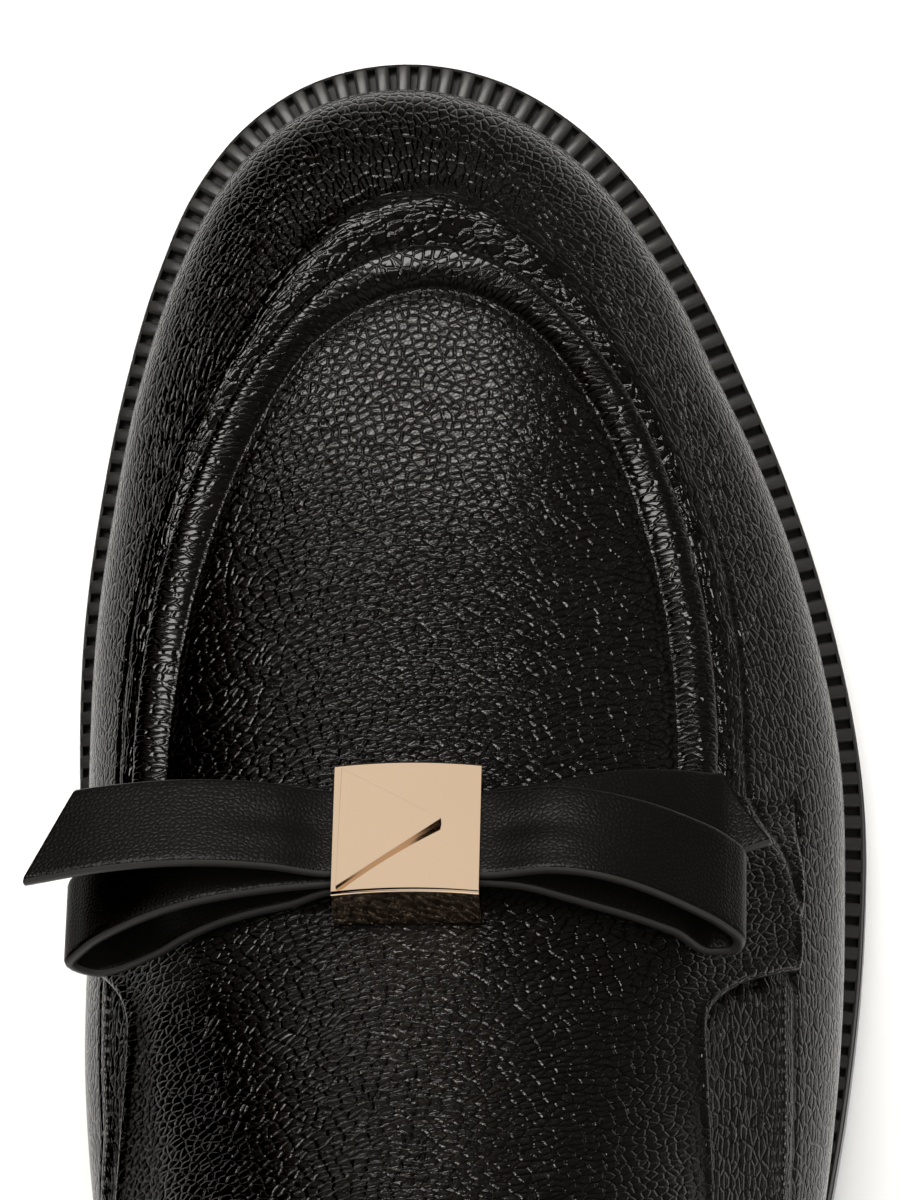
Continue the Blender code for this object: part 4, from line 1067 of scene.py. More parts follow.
def buildBow(seat, leather, edgePaint):
    low, middle, high = knotLevels()
    turn = math.radians(bowShape["tailTurn"])
    tail = knotLead(1, low)
    for x in np.linspace(bowShape["tailFrom"], bowShape["tailReach"], bowShape["tailPoints"]):
        tail.append((x, restHeight(max(seat.bearing(x, turn), bowShape["tailLowest"]))))
    mats = [leather, edgePaint]
    cut = bowShape["endCut"]
    handIn(buildStrap("bow_strap_tail_lateral", seat, tail, mats, turn, cut, openEnd=True),
           "ribbon_leather", "bow_tail_lateral")
    seat.trees.append(seat.treeOf("bow_tail_lateral"))
    loopTurn = math.radians(bowShape["loopTurn"])
    path = loopPath(seat, 1, bowShape["lateralLoop"], high, middle)
    loop = buildStrap("bow_strap_loop_lateral", seat, path, mats, loopTurn,
                      heelDrop=bowShape["loopHeelDrop"], sag=bowShape["loopSag"])
    handIn(loop, "ribbon_leather", "bow_loop_lateral")
    path = loopPath(seat, -1, bowShape["medialLoop"], middle, low)
    handIn(buildStrap("bow_strap_loop_medial", seat, path, mats, loopTurn),
           "ribbon_leather", "bow_loop_medial")
    tail = knotLead(-1, high) + [(-x, out) for x, out in bowShape["medialTail"]]
    handIn(buildStrap("bow_strap_tail_medial", seat, tail, mats, 0.0, cut, openEnd=True),
           "ribbon_leather", "bow_tail_medial")


def knotFold(seat, top):
    halfX, halfBack = knotShape["width"] / 2, knotShape["length"] / 2
    low, high = [], []
    for x, back, height in knotShape["fold"]:
        level = top - knotShape["crown"] * x**2
        low.append(seat.point(x * halfX, back * halfBack, level - knotShape["foldSunk"]))
        high.append(seat.point(x * halfX, back * halfBack, level + height))
    return low + high, [(0, 1, 2), (5, 4, 3), (0, 3, 4, 1), (1, 4, 5, 2), (2, 5, 3, 0)]


def buildKnot(seat, gold):
    shape = knotShape
    base = shape["gap"]
    depth = knotLevels()[-1] + bowShape["pinched"] / 2 + shape["gap"] + shape["wall"] - base
    half, halfWidth = shape["length"] / 2, shape["width"] / 2
    turns = np.linspace(0, math.pi / 2, shape["edgeSteps"] + 1)
    r = shape["edge"]
    top = base + depth
    outside = [(-half, base), (half, base)]
    outside += [(half - r + r * math.cos(a), top - r + r * math.sin(a)) for a in turns]
    outside += [(-half + r - r * math.sin(a), top - r + r * math.cos(a)) for a in turns]
    inner = half - shape["wall"]
    floor, roof = base + shape["wall"], top - shape["wall"]
    inside = [(-inner, floor), (inner, floor), (inner, roof), (-inner, roof)]
    xs = np.linspace(-halfWidth, halfWidth, shape["columns"])
    points, faces = [], []
    for section, crowned in ((outside, True), (inside, False)):
        start, size = len(points), len(section)
        for x in xs:
            sag = -shape["crown"] * (x / halfWidth) ** 2 if crowned else 0.0
            for back, out in section:
                points.append(seat.point(x, back, out + (sag if out > base + depth / 2 else 0.0)))
        for i in range(len(xs) - 1):
            for k in range(size):
                a, b = start + i * size + k, start + i * size + (k + 1) % size
                quad = (a, b, b + size, a + size)
                faces.append(quad if crowned else quad[::-1])
    # the two open mouths: rings of quads from the outside to the inside
    outCount, inCount = len(outside), len(inside)
    inStart = outCount * len(xs)
    pairs = [0, 1] + [2] * len(turns) + [3] * len(turns)
    for end, flip in ((0, False), (len(xs) - 1, True)):
        for k in range(outCount):
            n = (k + 1) % outCount
            a, b = end * outCount + k, end * outCount + n
            c, d = inStart + end * inCount + pairs[n], inStart + end * inCount + pairs[k]
            face = (a, b, c, d) if c != d else (a, b, c)
            faces.append(face[::-1] if flip else face)
    foldPoints, foldFaces = knotFold(seat, top)
    faces += [[len(points) + k for k in face] for face in foldFaces]
    knot = makePiece("knot_metal", np.array(points + foldPoints), faces, [gold])
    weld(knot, shape["sharpAngle"])
    rounding = knot.modifiers.new("worn edges", "BEVEL")
    rounding.width = shape["foldEdge"] * mm
    rounding.segments = 2
    rounding.limit_method = "ANGLE"
    rounding.angle_limit = math.radians(shape["bevelAngle"])
    evening = knot.modifiers.new("flat facets", "WEIGHTED_NORMAL")
    evening.weight = 100
    evening.keep_sharp = True
    settle(knot)
    return knot


# rubber: outsole with its lip, heel, and the welt with moulded ribs

rubberShape = {
    "lip": 0.5,
    "weltInset": 0.15,
    "edgeRound": 1.6,
    "weltThick": 7.0,
    "weltUnder": 5.0,
    "weltSlope": 1.5,
    "columns": 360,
    "treadDepth": 2.5,
    "treadWidth": 3.6,
    "treadPitch": 11.5,
    "tread": (152.0, 250.0),
    "heelTread": (14.0, 60.0),
    "breast": 70.0,
    "hollow": 5.0,
    "heelTaper": 1.6,
    "ribPitch": 2.8,
    "ribWidth": 1.75,
    "ribDepth": 2.4,
    "ribRound": 0.5,
    "ribBase": 1.7,  # depth of the grooves between the ribs
    # share of the welt's width, and drop
    "ribLine": [(-0.12, -0.1), (0.2, 0.15), (0.5, 0.55), (0.8, 1.05), (0.93, 1.4)],
    "barHalf": 60.0,  # the tread's cutting bars reach past both sides
    "shelfRound": 0.25,
    "heelTop": [(0.2, 0.3), (0.4, 0.0)],  # in from the lip, and down from the seat
    "heelSteps": 61,
    "breastSteps": 31,
    "stripFoot": (0.4, 0.05),  # in from the feather line, and drop
    "stripRim": [(0.5, 1.7), (0.36, 0.1), (0.1, 0.05), (0.0, 0.35)],  # in from the edge, further drop
    "stripFold": 40,
    "stripSkip": 2,
}
insoleShape = {
    "gap": 0.3,
    "thick": 2.8,
    "margin": 2.9,
    "edge": 0.9,
    "columns": 200,
}


def sidesAt(halves, stations):
    # both sides of a plan at the same stations
    sides = []
    for side in halves:
        level = np.maximum.accumulate(side[:, 1])
        sides.append(np.stack([np.interp(stations, level, side[:, 0]), stations], axis=1))
    return sides


def planByStation(plan, count):
    plan = np.roll(plan, -plan[:, 1].argmin(), axis=0)
    end = plan[:, 1].argmax()
    turn = np.linspace(0, math.pi, count // 2 + 1)
    stations = plan[0, 1] + (plan[end, 1] - plan[0, 1]) * (1 - np.cos(turn)) / 2
    one, other = sidesAt((plan[:end + 1], np.vstack([plan[end:], plan[:1]])[::-1]), stations)
    return np.vstack([one, other[-2:0:-1]])


def ladder(start, size, flip):
    # closes a ring that begins at the heel by rungs between its two sides
    faces = []
    for i in range(size // 2):
        corners = list(dict.fromkeys([i, i + 1, size - i - 1, -i % size]))
        if len(corners) > 2:
            face = [start + k for k in corners]
            faces.append(face[::-1] if flip else face)
    return faces


def treadBars(name, span, floorAt):
    points, faces = [], []
    for station in np.arange(span[0], span[1], rubberShape["treadPitch"]):
        floor = floorAt(station)
        slope = (floorAt(station + 1) - floorAt(station - 1)) / 2
        start = len(points)
        for z in (-1, 1):
            for y in (-0.5, 0.5):
                ahead = y * rubberShape["treadWidth"]
                height = floor + ahead * slope + z * rubberShape["treadDepth"]
                for x in (-1, 1):
                    points.append((x * rubberShape["barHalf"], station + ahead, height))
        box = [(0, 2, 3, 1), (4, 5, 7, 6), (0, 1, 5, 4), (2, 6, 7, 3), (0, 4, 6, 2), (1, 3, 7, 5)]
        faces += [[start + k for k in face] for face in box]
    return makePiece(name, np.array(points), faces, [])


def cutTread(piece, bars):
    cut = piece.modifiers.new("tread", "BOOLEAN")
    cut.operation = "DIFFERENCE"
    cut.solver = "EXACT"
    cut.object = bars
    settle(piece)
    bpy.data.objects.remove(bars, do_unlink=True)
    piece.data.shade_smooth()
    piece.data.set_sharp_from_angle(angle=math.radians(mouldedFold))


def stackRings(name, rings, material):
    size = len(rings[0])
    faces = ringFaces(len(rings), size)
    faces += ladder(0, size, True) + ladder((len(rings) - 1) * size, size, False)
    piece = makePiece(name, np.vstack(rings), faces, [material])
    weld(piece, mouldedFold)
    return piece


def withHeight(plan, z):
    return np.column_stack([plan, np.broadcast_to(z, len(plan))])


def underWelt(plan, drop):
    # a plan laid this far under the welt's top
    return withHeight(plan, weltTop(plan[:, 1]) - drop)


def quarterRound(radius):
    # a rounded edge in five steps: how far in it still is, and how far up
    turns = np.linspace(0, math.pi / 2, 5)
    return [(radius * (1 - math.sin(a)), radius * (1 - math.cos(a))) for a in turns]


def buildOutsole(rubber):
    shape = rubberShape
    count, stack, gap = shape["columns"], soleShape["stack"], soleShape["fitGap"]
    shelf = shape["weltThick"] + gap
    levels = [(soleEdge, margin, stack - up) for margin, up in quarterRound(shape["edgeRound"])]
    levels += [(soleEdge, 0.0, shelf + shape["shelfRound"]), (soleEdge, shape["shelfRound"], shelf)]
    levels += [(featherLine, shape["weltUnder"] + gap, drop) for drop in (shelf, 0.0)]
    rings = []
    for plan, margin, drop in levels:
        rings.append(underWelt(planByStation(insetPlan(plan, margin), count), drop))
    piece = stackRings("outsole_rubber", rings, rubber)
    cutTread(piece, treadBars("tread_bars", shape["tread"], lambda s: weltTop(s) - stack))
    return piece


def heelLine(plan, breast):
    shape = rubberShape
    start, half = plan[:, 1].min(), len(plan) // 2
    turn = np.linspace(0, math.pi / 2, shape["heelSteps"])
    stations = start + (breast - start) * (1 - np.cos(turn))
    lateral, medial = sidesAt((plan[:half], plan[half:][::-1]), stations)
    middle, reach = (lateral[-1] + medial[-1]) / 2, (lateral[-1] - medial[-1]) / 2
    sweep = np.linspace(0, math.pi, shape["breastSteps"])[1:-1, None]
    hollow = middle + reach * np.cos(sweep) - np.array([[0, shape["hollow"]]]) * np.sin(sweep)
    return np.vstack([lateral, hollow, medial[:0:-1]])


def buildHeel(rubber):
    shape = rubberShape
    top = soleShape["heelLift"] - soleShape["fitGap"]
    levels = [(shape["heelTaper"] + margin, up) for margin, up in quarterRound(shape["edgeRound"])]
    levels += [(margin, top - down) for margin, down in shape["heelTop"]]
    rings = []
    for margin, height in levels:
        inset = shape["lip"] + margin
        rings.append(withHeight(heelLine(insetPlan(soleEdge, inset), shape["breast"] - inset), height))
    size = len(rings[0])
    faces = ringFaces(len(rings), size)
    faces += [list(range(size))[::-1], list(range((len(rings) - 1) * size, len(rings) * size))]
    piece = makePiece("heel_rubber", np.vstack(rings), faces, [rubber])
    weld(piece, mouldedFold)
    cutTread(piece, treadBars("heel_tread_bars", shape["heelTread"], lambda s: 0.0))
    return piece


def buildWeltStrip(rubber):
    # the strip between and under the ribs, closed all round
    shape = rubberShape
    outer = insetPlan(soleEdge, shape["weltInset"])
    inner = insetPlan(featherLine, shape["weltUnder"])
    footIn, footDrop = shape["stripFoot"]
    levels = [(inner, shape["weltThick"]), (inner, 0.0), (insetPlan(featherLine, footIn), footDrop)]
    levels += [(featherLine, shape["ribBase"])]
    levels += [(insetPlan(outer, width), shape["weltSlope"] + drop) for width, drop in shape["stripRim"]]
    levels += [(outer, shape["weltThick"])]
    rings = [underWelt(plan, drop)[::shape["stripSkip"]] for plan, drop in levels]
    wrap = len(rings) * len(rings[0])
    faces = [[k % wrap for k in face] for face in ringFaces(len(rings) + 1, len(rings[0]))]
    piece = makePiece("welt_strip", np.vstack(rings), faces, [rubber])
    weld(piece, shape["stripFold"])
    return piece


def newTree(name, inputs):
    tree = bpy.data.node_groups.new(name, "GeometryNodeTree")
    tree.interface.new_socket("Geometry", in_out="INPUT", socket_type="NodeSocketGeometry")
    identifiers = {}
    for label, kind in inputs.items():
        identifiers[label] = tree.interface.new_socket(label, in_out="INPUT", socket_type=kind).identifier
    tree.interface.new_socket("Geometry", in_out="OUTPUT", socket_type="NodeSocketGeometry")
    return tree, identifiers


def growOn(piece, tree, identifiers, values):
    # runs a node tree on a piece and keeps the plain mesh that it makes
    modifier = piece.modifiers.new(tree.name, "NODES")
    modifier.node_group = tree
    for label, value in values.items():
        modifier[identifiers[label]] = value
    settle(piece)


def endTree(tree, geometry, material):
    real = addNode(tree, "GeometryNodeRealizeInstances", inputs={"Geometry": geometry})
    shade = addNode(tree, "GeometryNodeSetShadeSmooth", inputs={"Geometry": real.outputs[0]})
    painted = addNode(tree, "GeometryNodeSetMaterial", inputs={
        "Geometry": shade.outputs[0], "Material": material})
    addNode(tree, "NodeGroupOutput", inputs={"Geometry": painted.outputs[0]})


def ribTree():
    # every line becomes one flat-topped bar across the welt
    tree, identifiers = newTree("moulded ribs", {
        "Rib Width": "NodeSocketFloat", "Rib Depth": "NodeSocketFloat", "Rib Round": "NodeSocketFloat",
        "Material": "NodeSocketMaterial"})
    start = addNode(tree, "NodeGroupInput").outputs
    line = addNode(tree, "GeometryNodeMeshToCurve", inputs={"Mesh": start["Geometry"]})
    side = addNode(tree, "GeometryNodeInputNamedAttribute", {"data_type": "FLOAT_VECTOR"}, {"Name": "side"})
    facing = addNode(tree, "GeometryNodeSetCurveNormal", {"mode": "FREE"}, {
        "Curve": line.outputs[0], "Normal": side.outputs[0]})
    box = addNode(tree, "GeometryNodeCurvePrimitiveQuadrilateral", inputs={
        "Width": start["Rib Width"], "Height": start["Rib Depth"]})
    rounded = addNode(tree, "GeometryNodeFilletCurve", {"mode": "POLY"}, {
        "Curve": box.outputs[0], "Count": 2, "Radius": start["Rib Round"]})
    half = addNode(tree, "ShaderNodeMath", {"operation": "MULTIPLY"}, {0: start["Rib Depth"], 1: -0.5})
    drop = addNode(tree, "ShaderNodeCombineXYZ", inputs={"Y": half.outputs[0]})
    profile = addNode(tree, "GeometryNodeTransform", inputs={
        "Geometry": rounded.outputs[0], "Translation": drop.outputs[0]})
    bars = addNode(tree, "GeometryNodeCurveToMesh", inputs={
        "Curve": facing.outputs[0], "Profile Curve": profile.outputs[0], "Fill Caps": True})
    endTree(tree, bars.outputs[0], start["Material"])
    return tree, identifiers


def buildRibs(rubber):
    shape = rubberShape
    outer = insetPlan(soleEdge, shape["weltInset"])
    way = np.concatenate([[0], np.cumsum(stepsRound(outer))])
    count = round(way[-1] / shape["ribPitch"])
    wrapped = np.arange(len(outer) + 1)
    share = np.interp(np.arange(count) / count * way[-1], way, wrapped)
    edge, foot = [np.stack([np.interp(share, wrapped, np.append(side, side[0])) for side in plan.T], axis=1)
                  for plan in (outer, featherLine)]
    lines = []
    for start, end in zip(foot, edge):
        outward = unitRows(end - start)
        line = []
        for reach, drop in shape["ribLine"]:
            x, y = start + (end - start) * reach
            line.append((x, y, float(weltTop(y)) - drop))
        lines.append((line, [(-outward[1], outward[0], 0.0)] * len(line)))
    piece = linePiece("welt_ribs", lines, "side")
    growOn(piece, *ribTree(), {
        "Rib Width": shape["ribWidth"] * mm, "Rib Depth": shape["ribDepth"] * mm,
        "Rib Round": shape["ribRound"] * mm, "Material": rubber})
    return piece


def buildInsole(lining):
    shape = insoleShape
    top = shape["gap"] + shape["thick"]
    levels = [(0.0, shape["gap"])]
    levels += [(inset, top - below) for below, inset in quarterRound(shape["edge"])]
    rings = []
    for inset, height in levels:
        plan = planByStation(insetPlan(featherLine, shape["margin"] + inset), shape["columns"])
        rings.append(underWelt(plan, -height))
    return stackRings("insole_cover", rings, lining)


# stitches: rows of thread beads that follow a line on the leather

stitchShape = {
    "tongue_stitches": {
        "pitch": 1.05,
        "size": (0.95, 0.66, 0.5),
        "above": 0.12,
        "span": (104.0, 137.5, 60),
        "out": 1.3,  # outside the tongue's cut edge
        "belowRim": 0.8,
        "edgeBy": 136.0,  # further on the edge turns into the wing's
    },
    "ridge_stitches": {"pitch": 1.7, "size": (1.2, 0.5, 0.42), "above": 0.05, "span": (92.0, 163.0, 90)},
    "collar_stitches": {
        "pitch": 2.3,
        "size": (1.9, 0.5, 0.4),
        "above": 0.1,
        "columns": (150, 4, 60),
        "front": 103.0,
        "belowRim": 3.4,
    },
}


def stitchTree():
    tree, identifiers = newTree("thread stitches", {
        "Pitch": "NodeSocketFloat", "Size": "NodeSocketVector", "Material": "NodeSocketMaterial"})
    start = addNode(tree, "NodeGroupInput").outputs
    line = addNode(tree, "GeometryNodeMeshToCurve", inputs={"Mesh": start["Geometry"]})
    spaced = addNode(tree, "GeometryNodeResampleCurve", {"mode": "LENGTH"}, {
        "Curve": line.outputs[0], "Length": start["Pitch"]})
    bead = addNode(tree, "GeometryNodeMeshUVSphere", inputs={"Segments": 8, "Rings": 6, "Radius": 0.5})
    tangent = addNode(tree, "GeometryNodeInputTangent")
    upright = addNode(tree, "GeometryNodeInputNamedAttribute", {"data_type": "FLOAT_VECTOR"}, {
        "Name": "upright"})
    turn = addNode(tree, "FunctionNodeAxesToRotation", {"primary_axis": "X", "secondary_axis": "Z"}, {
        0: tangent.outputs[0], 1: upright.outputs[0]})
    beads = addNode(tree, "GeometryNodeInstanceOnPoints", inputs={
        "Points": spaced.outputs[0], "Instance": bead.outputs[0],
        "Rotation": turn.outputs[0], "Scale": start["Size"]})
    endTree(tree, beads.outputs[0], start["Material"])
    return tree, identifiers


def seamLine(columns, wayOf, above, relieved=True):
    # a line on the leather with its normals, one point for every column
    line, facing = [], []
    for station, angle in columns:
        profile = columnProfile(station, angle)
        at = wayOf(station, angle, profile)
        rise = np.interp(at, profile["way"], profile["rises"])
        normal = lastNormals(station, angle, np.array([rise]))[0]
        lift = seamRelief(station, angle, profile, np.array([at]))[0][0] if relieved else 0.0
        line.append(lastPoints(station, angle, rise) + normal * (lift + above))
        facing.append(normal)
    return line, facing


def buildStitches(thread):
    tongue, collar = stitchShape["tongue_stitches"], stitchShape["collar_stitches"]

    def besideTongue(station, angle, profile):
        edge = saddleEdgeRise(min(station, tongue["edgeBy"]), angle)
        edge = np.interp(edge, profile["rises"], profile["way"])
        return min(edge - tongue["out"], profile["way"][-1] - tongue["belowRim"])

    def onRidge(station, angle, profile):
        return profile["ridge"]

    def underRim(station, angle, profile):
        return profile["way"][-1] - collar["belowRim"]

    columns = [c for c in upperColumns(*collar["columns"]) if c[0] < collar["front"]]
    turnAt = next(i for i, c in enumerate(columns) if c[1] > 1)
    columns = columns[turnAt:] + columns[:turnAt]
    lines = {"collar_stitches": [seamLine(columns, underRim, collar["above"], relieved=False)]}
    for name, wayOf in (("tongue_stitches", besideTongue), ("ridge_stitches", onRidge)):
        shape = stitchShape[name]
        stations = np.linspace(*shape["span"])
        lines[name] = [seamLine([(s, angle) for s in stations], wayOf, shape["above"])
                       for angle in (0.0, math.pi)]
    tree, identifiers = stitchTree()
    for name, shape in stitchShape.items():
        piece = linePiece(name, lines[name], "upright")
        growOn(piece, tree, identifiers, {
            "Pitch": shape["pitch"] * mm, "Size": [s * mm for s in shape["size"]], "Material": thread})
        handIn(piece, "grained_leather")


# materials

leatherLook = {
    # the cracks are painted darker than the pebble tops, a painted shade where light would not reach into
    # them
    "crack": "#020201",
    "top": "#0d0b0a",
    "cell": 1.55,  # mm, the pebbles
    "fineCell": 0.72,
    "pore": 0.22,
    "warp": 0.9,
    "warpSize": 3.2,
    "crackReach": 0.21,
    "dome": 0.72,
    "domeShare": 0.24,
    "fineShare": 0.1,
    "poreShare": 0.015,
    "relief": 0.15,
    "randomness": 0.9,
    "gatherCell": 0.9,
    "gatherStretch": 5.5,  # long fine wrinkles along the ridge
    "gatherDome": 0.5,
    "gatherShare": 0.5,
    "pipeCell": 1.1,  # small pebbles over the pipe
    "pipeDome": 0.15,
    "pipeShare": 0.85,
    "pipeCalm": 0.3,
    "calmLevel": 0.8,
    "wornSize": 9.0,
    "roughness": (0.11, 0.165),
    "specular": 0.24,
}


def dress(tree, shader, look, shade, height, rough):
    # wires colour, bump and roughness to the shader
    colour = addNode(tree, "ShaderNodeMix", {"data_type": "RGBA"}, {
        0: shade, 6: linear(look["crack"]), 7: linear(look["top"])})
    bump = addNode(tree, "ShaderNodeBump", inputs={
        "Strength": 1.0, "Distance": look["relief"] * mm, "Height": height})
    tree.links.new(colour.outputs[2], shader.inputs["Base Color"])
    tree.links.new(rough.outputs[0], shader.inputs["Roughness"])
    tree.links.new(bump.outputs[0], shader.inputs["Normal"])


def grainedLeather():
    # tumbled calf leather, black, with a thin waxy finish: soft pebbles whose cracks catch bright lines
    look = leatherLook
    material, tree, shader = newMaterial("grained_calf_leather")
    uv = addNode(tree, "ShaderNodeUVMap", {"uv_map": "grain"}).outputs["UV"]
    drift = addNode(tree, "ShaderNodeTexNoise", {"noise_dimensions": "2D"}, {
        "Vector": uv, "Scale": uvUnit / look["warpSize"], "Detail": 2.0})
    warp = look["warp"] / uvUnit
    warped = addNode(tree, "ShaderNodeVectorMath", {"operation": "MULTIPLY_ADD"}, {
        0: drift.outputs["Color"], 1: (warp, warp, 0.0), 2: uv}).outputs[0]

    def mixed(share, one, two):
        return addNode(tree, "ShaderNodeMix", {"data_type": "FLOAT"}, {0: share, 2: one, 3: two}).outputs[0]

    def cells(vector, size, domeShare):
        # domed pebbles with thin cracks between them
        settings = {"voronoi_dimensions": "2D"}
        place = {"Vector": vector, "Scale": uvUnit / size, "Randomness": look["randomness"]}
        edge = addNode(tree, "ShaderNodeTexVoronoi", {**settings, "feature": "DISTANCE_TO_EDGE"}, place)
        crack = addNode(tree, "ShaderNodeMapRange", {"interpolation_type": "SMOOTHSTEP"}, {
            "Value": edge.outputs["Distance"], "From Max": look["crackReach"]}).outputs[0]
        if not domeShare:
            return crack
        near = addNode(tree, "ShaderNodeTexVoronoi", {**settings, "feature": "F1"}, place)
        dome = addNode(tree, "ShaderNodeMapRange", {"interpolation_type": "SMOOTHSTEP"}, {
            "Value": near.outputs["Distance"], "From Min": look["dome"], "From Max": 0.0}).outputs[0]
        return mixed(domeShare, crack, dome)

    def shareOf(attribute, share):
        mask = addNode(tree, "ShaderNodeAttribute", {"attribute_name": attribute}).outputs["Fac"]
        return addNode(tree, "ShaderNodeMath", {"operation": "MULTIPLY"}, {0: mask, 1: share}).outputs[0]

    stretched = addNode(tree, "ShaderNodeVectorMath", {"operation": "MULTIPLY"}, {
        0: warped, 1: (1 / look["gatherStretch"], 1.0, 0.0)}).outputs[0]
    pores = addNode(tree, "ShaderNodeTexNoise", {"noise_dimensions": "2D"}, {
        "Vector": uv, "Scale": uvUnit / look["pore"], "Detail": 1.0}).outputs["Fac"]
    pebble = cells(warped, look["cell"], look["domeShare"])
    height = mixed(look["fineShare"], pebble, cells(warped, look["fineCell"], 0.0))
    height = mixed(look["poreShare"], height, pores)
    gatherLines = cells(stretched, look["gatherCell"], look["gatherDome"])
    height = mixed(shareOf("gathered", look["gatherShare"]), height, gatherLines)
    pipeGrain = cells(warped, look["pipeCell"], look["pipeDome"])
    height = mixed(shareOf("piped", look["pipeShare"]), height, pipeGrain)
    height = mixed(shareOf("piped", look["pipeCalm"]), height, look["calmLevel"])
    worn = addNode(tree, "ShaderNodeTexNoise", {"noise_dimensions": "2D"}, {
        "Vector": uv, "Scale": uvUnit / look["wornSize"], "Detail": 3.0})
    smooth, dull = look["roughness"]
    rough = addNode(tree, "ShaderNodeMapRange", inputs={
        "Value": worn.outputs["Fac"], "To Min": smooth, "To Max": dull})
    # the height also darkens the colour into the cracks as painted shade, besides driving the bump
    dress(tree, shader, look, height, height, rough)
    shader.inputs["Specular IOR Level"].default_value = look["specular"]
    return material


strapLook = {
    "crack": "#060504",
    "top": "#0f0e0c",
    "cell": 0.62,
    "fine": 0.3,
    "fineShare": 0.45,
    "pebbleReach": 0.4,
    "cloudSize": 7.0,
    "relief": 0.05,
    "roughness": (0.32, 0.44),
    "specular": 0.12,
}


def strapLeather():
    # smooth calf, matt: a fine even grain that only shows close to
    look = strapLook
    material, tree, shader = newMaterial("smooth_strap_leather")
    uv = addNode(tree, "ShaderNodeUVMap", {"uv_map": "grain"}).outputs["UV"]
    edge = addNode(tree, "ShaderNodeTexVoronoi", {
        "feature": "DISTANCE_TO_EDGE", "voronoi_dimensions": "2D"}, {
        "Vector": uv, "Scale": uvUnit / look["cell"]})
    pebble = addNode(tree, "ShaderNodeMapRange", {"interpolation_type": "SMOOTHSTEP"}, {
        "Value": edge.outputs["Distance"], "From Max": look["pebbleReach"]})
    fine = addNode(tree, "ShaderNodeTexNoise", {"noise_dimensions": "2D"}, {
        "Vector": uv, "Scale": uvUnit / look["fine"], "Detail": 2.0})
    grain = addNode(tree, "ShaderNodeMix", {"data_type": "FLOAT"}, {
        0: look["fineShare"], 2: pebble.outputs[0], 3: fine.outputs["Fac"]}).outputs[0]
    cloud = addNode(tree, "ShaderNodeTexNoise", {"noise_dimensions": "2D"}, {
        "Vector": uv, "Scale": uvUnit / look["cloudSize"], "Detail": 4.0})
    smooth, dull = look["roughness"]
    rough = addNode(tree, "ShaderNodeMapRange", inputs={
        "Value": cloud.outputs["Fac"], "To Min": smooth, "To Max": dull})
    dress(tree, shader, look, grain, grain, rough)
    shader.inputs["Specular IOR Level"].default_value = look["specular"]
    return material


def noiseFinish(name, dark, light, size, relief, roughness, metallic=0.0):
    # a plain finish with mottled colour and a fine bump, from one noise of a real size in mm
    cloudScale, spread = 25, 0.15
    material, tree, shader = newMaterial(name)
    place = addNode(tree, "ShaderNodeTexCoord").outputs["Object"]
    noise = addNode(tree, "ShaderNodeTexNoise", inputs={
        "Vector": place, "Scale": 1 / (size * mm), "Detail": 3.0}).outputs["Fac"]
    cloud = addNode(tree, "ShaderNodeTexNoise", inputs={
        "Vector": place, "Scale": 1 / (size * cloudScale * mm)}).outputs["Fac"]
    rough = addNode(tree, "ShaderNodeMapRange", inputs={
        "Value": cloud, "To Min": roughness * (1 - spread), "To Max": roughness * (1 + spread)})
    dress(tree, shader, {"crack": dark, "top": light, "relief": relief}, cloud, noise, rough)
    shader.inputs["Metallic"].default_value = metallic
    return material


leather = grainedLeather()
strap = strapLeather()
# brushed-on edge paint: an even satin dark grey that outlines every cut edge
edgePaint = noiseFinish("edge_paint", "#201f1d", "#292826", 0.4, 0.015, 0.38)
# moulded rubber: satin black, faintly mottled by the mould
rubber = noiseFinish("moulded_rubber", "#242322", "#302f2d", 0.35, 0.02, 0.4)
# the welt between and under its ribs: the same rubber painted darker and duller, a painted shade for the
# gaps between the ribs
shadedWeltRubber = noiseFinish("mould_dull_rubber", "#121110", "#1a1918", 0.35, 0.02, 0.62)
# vegetable-tanned lining: muted beige with soft pores
lining = noiseFinish("lining_leather", "#a98f70", "#bfa585", 0.5, 0.04, 0.6)
# waxed polyester thread, black with a dull gloss; its colour is painted a lighter grey than that, a painted
# glint so that the small beads show bright
thread = noiseFinish("waxed_thread", "#1c1b19", "#33312d", 0.15, 0.02, 0.3)
# pale gold plating, polished: a warm mirror with the faintest swirl
gold = noiseFinish("pale_gold_plate", "#e3c6a8", "#ecd2b6", 1.2, 0.0006, 0.09, metallic=1.0)
print("materials made")


# pieces

handIn(buildOutsole(rubber), "sole_rubber", "outsole")
handIn(buildHeel(rubber), "sole_rubber", "heel")
handIn(buildWeltStrip(shadedWeltRubber), "sole_rubber", "welt")
handIn(buildRibs(rubber), "sole_rubber")
handIn(buildInsole(lining), "lining_leather", "insole")
handIn(buildUpper(leather), "grained_leather", "upper")
handIn(buildLining(lining), "lining_leather")
handIn(buildSaddle(leather, edgePaint), "grained_leather", "saddle")
seat = BowSeat(["upper", "saddle"])
buildBow(seat, strap, edgePaint)
handIn(buildKnot(seat, gold), "gold_metal", "knot")
buildStitches(thread)


# floor, lights and camera

studio = {
    "floor": "#f4f3f1",
    "floorHalf": 4.0,
    "fibres": 400.0,  # to a metre
    "fibreRelief": 0.00002,
    "floorRoughness": 0.9,
    "rows": 1200,
    "photoScale": 0.1256,  # mm for one of the photograph's rows
    "aim": (-2.26, 66.4, 10.0),  # mm, what the middle of the picture shows
    "tilt": 10.0,
    "side": 3.0,
    "distance": 1.4,
    "sensor": 36.0,
    "lit": (0.0, 0.06, 0.05),  # what the lights point at
    "warmth": (1.0, 0.975, 0.94),
}


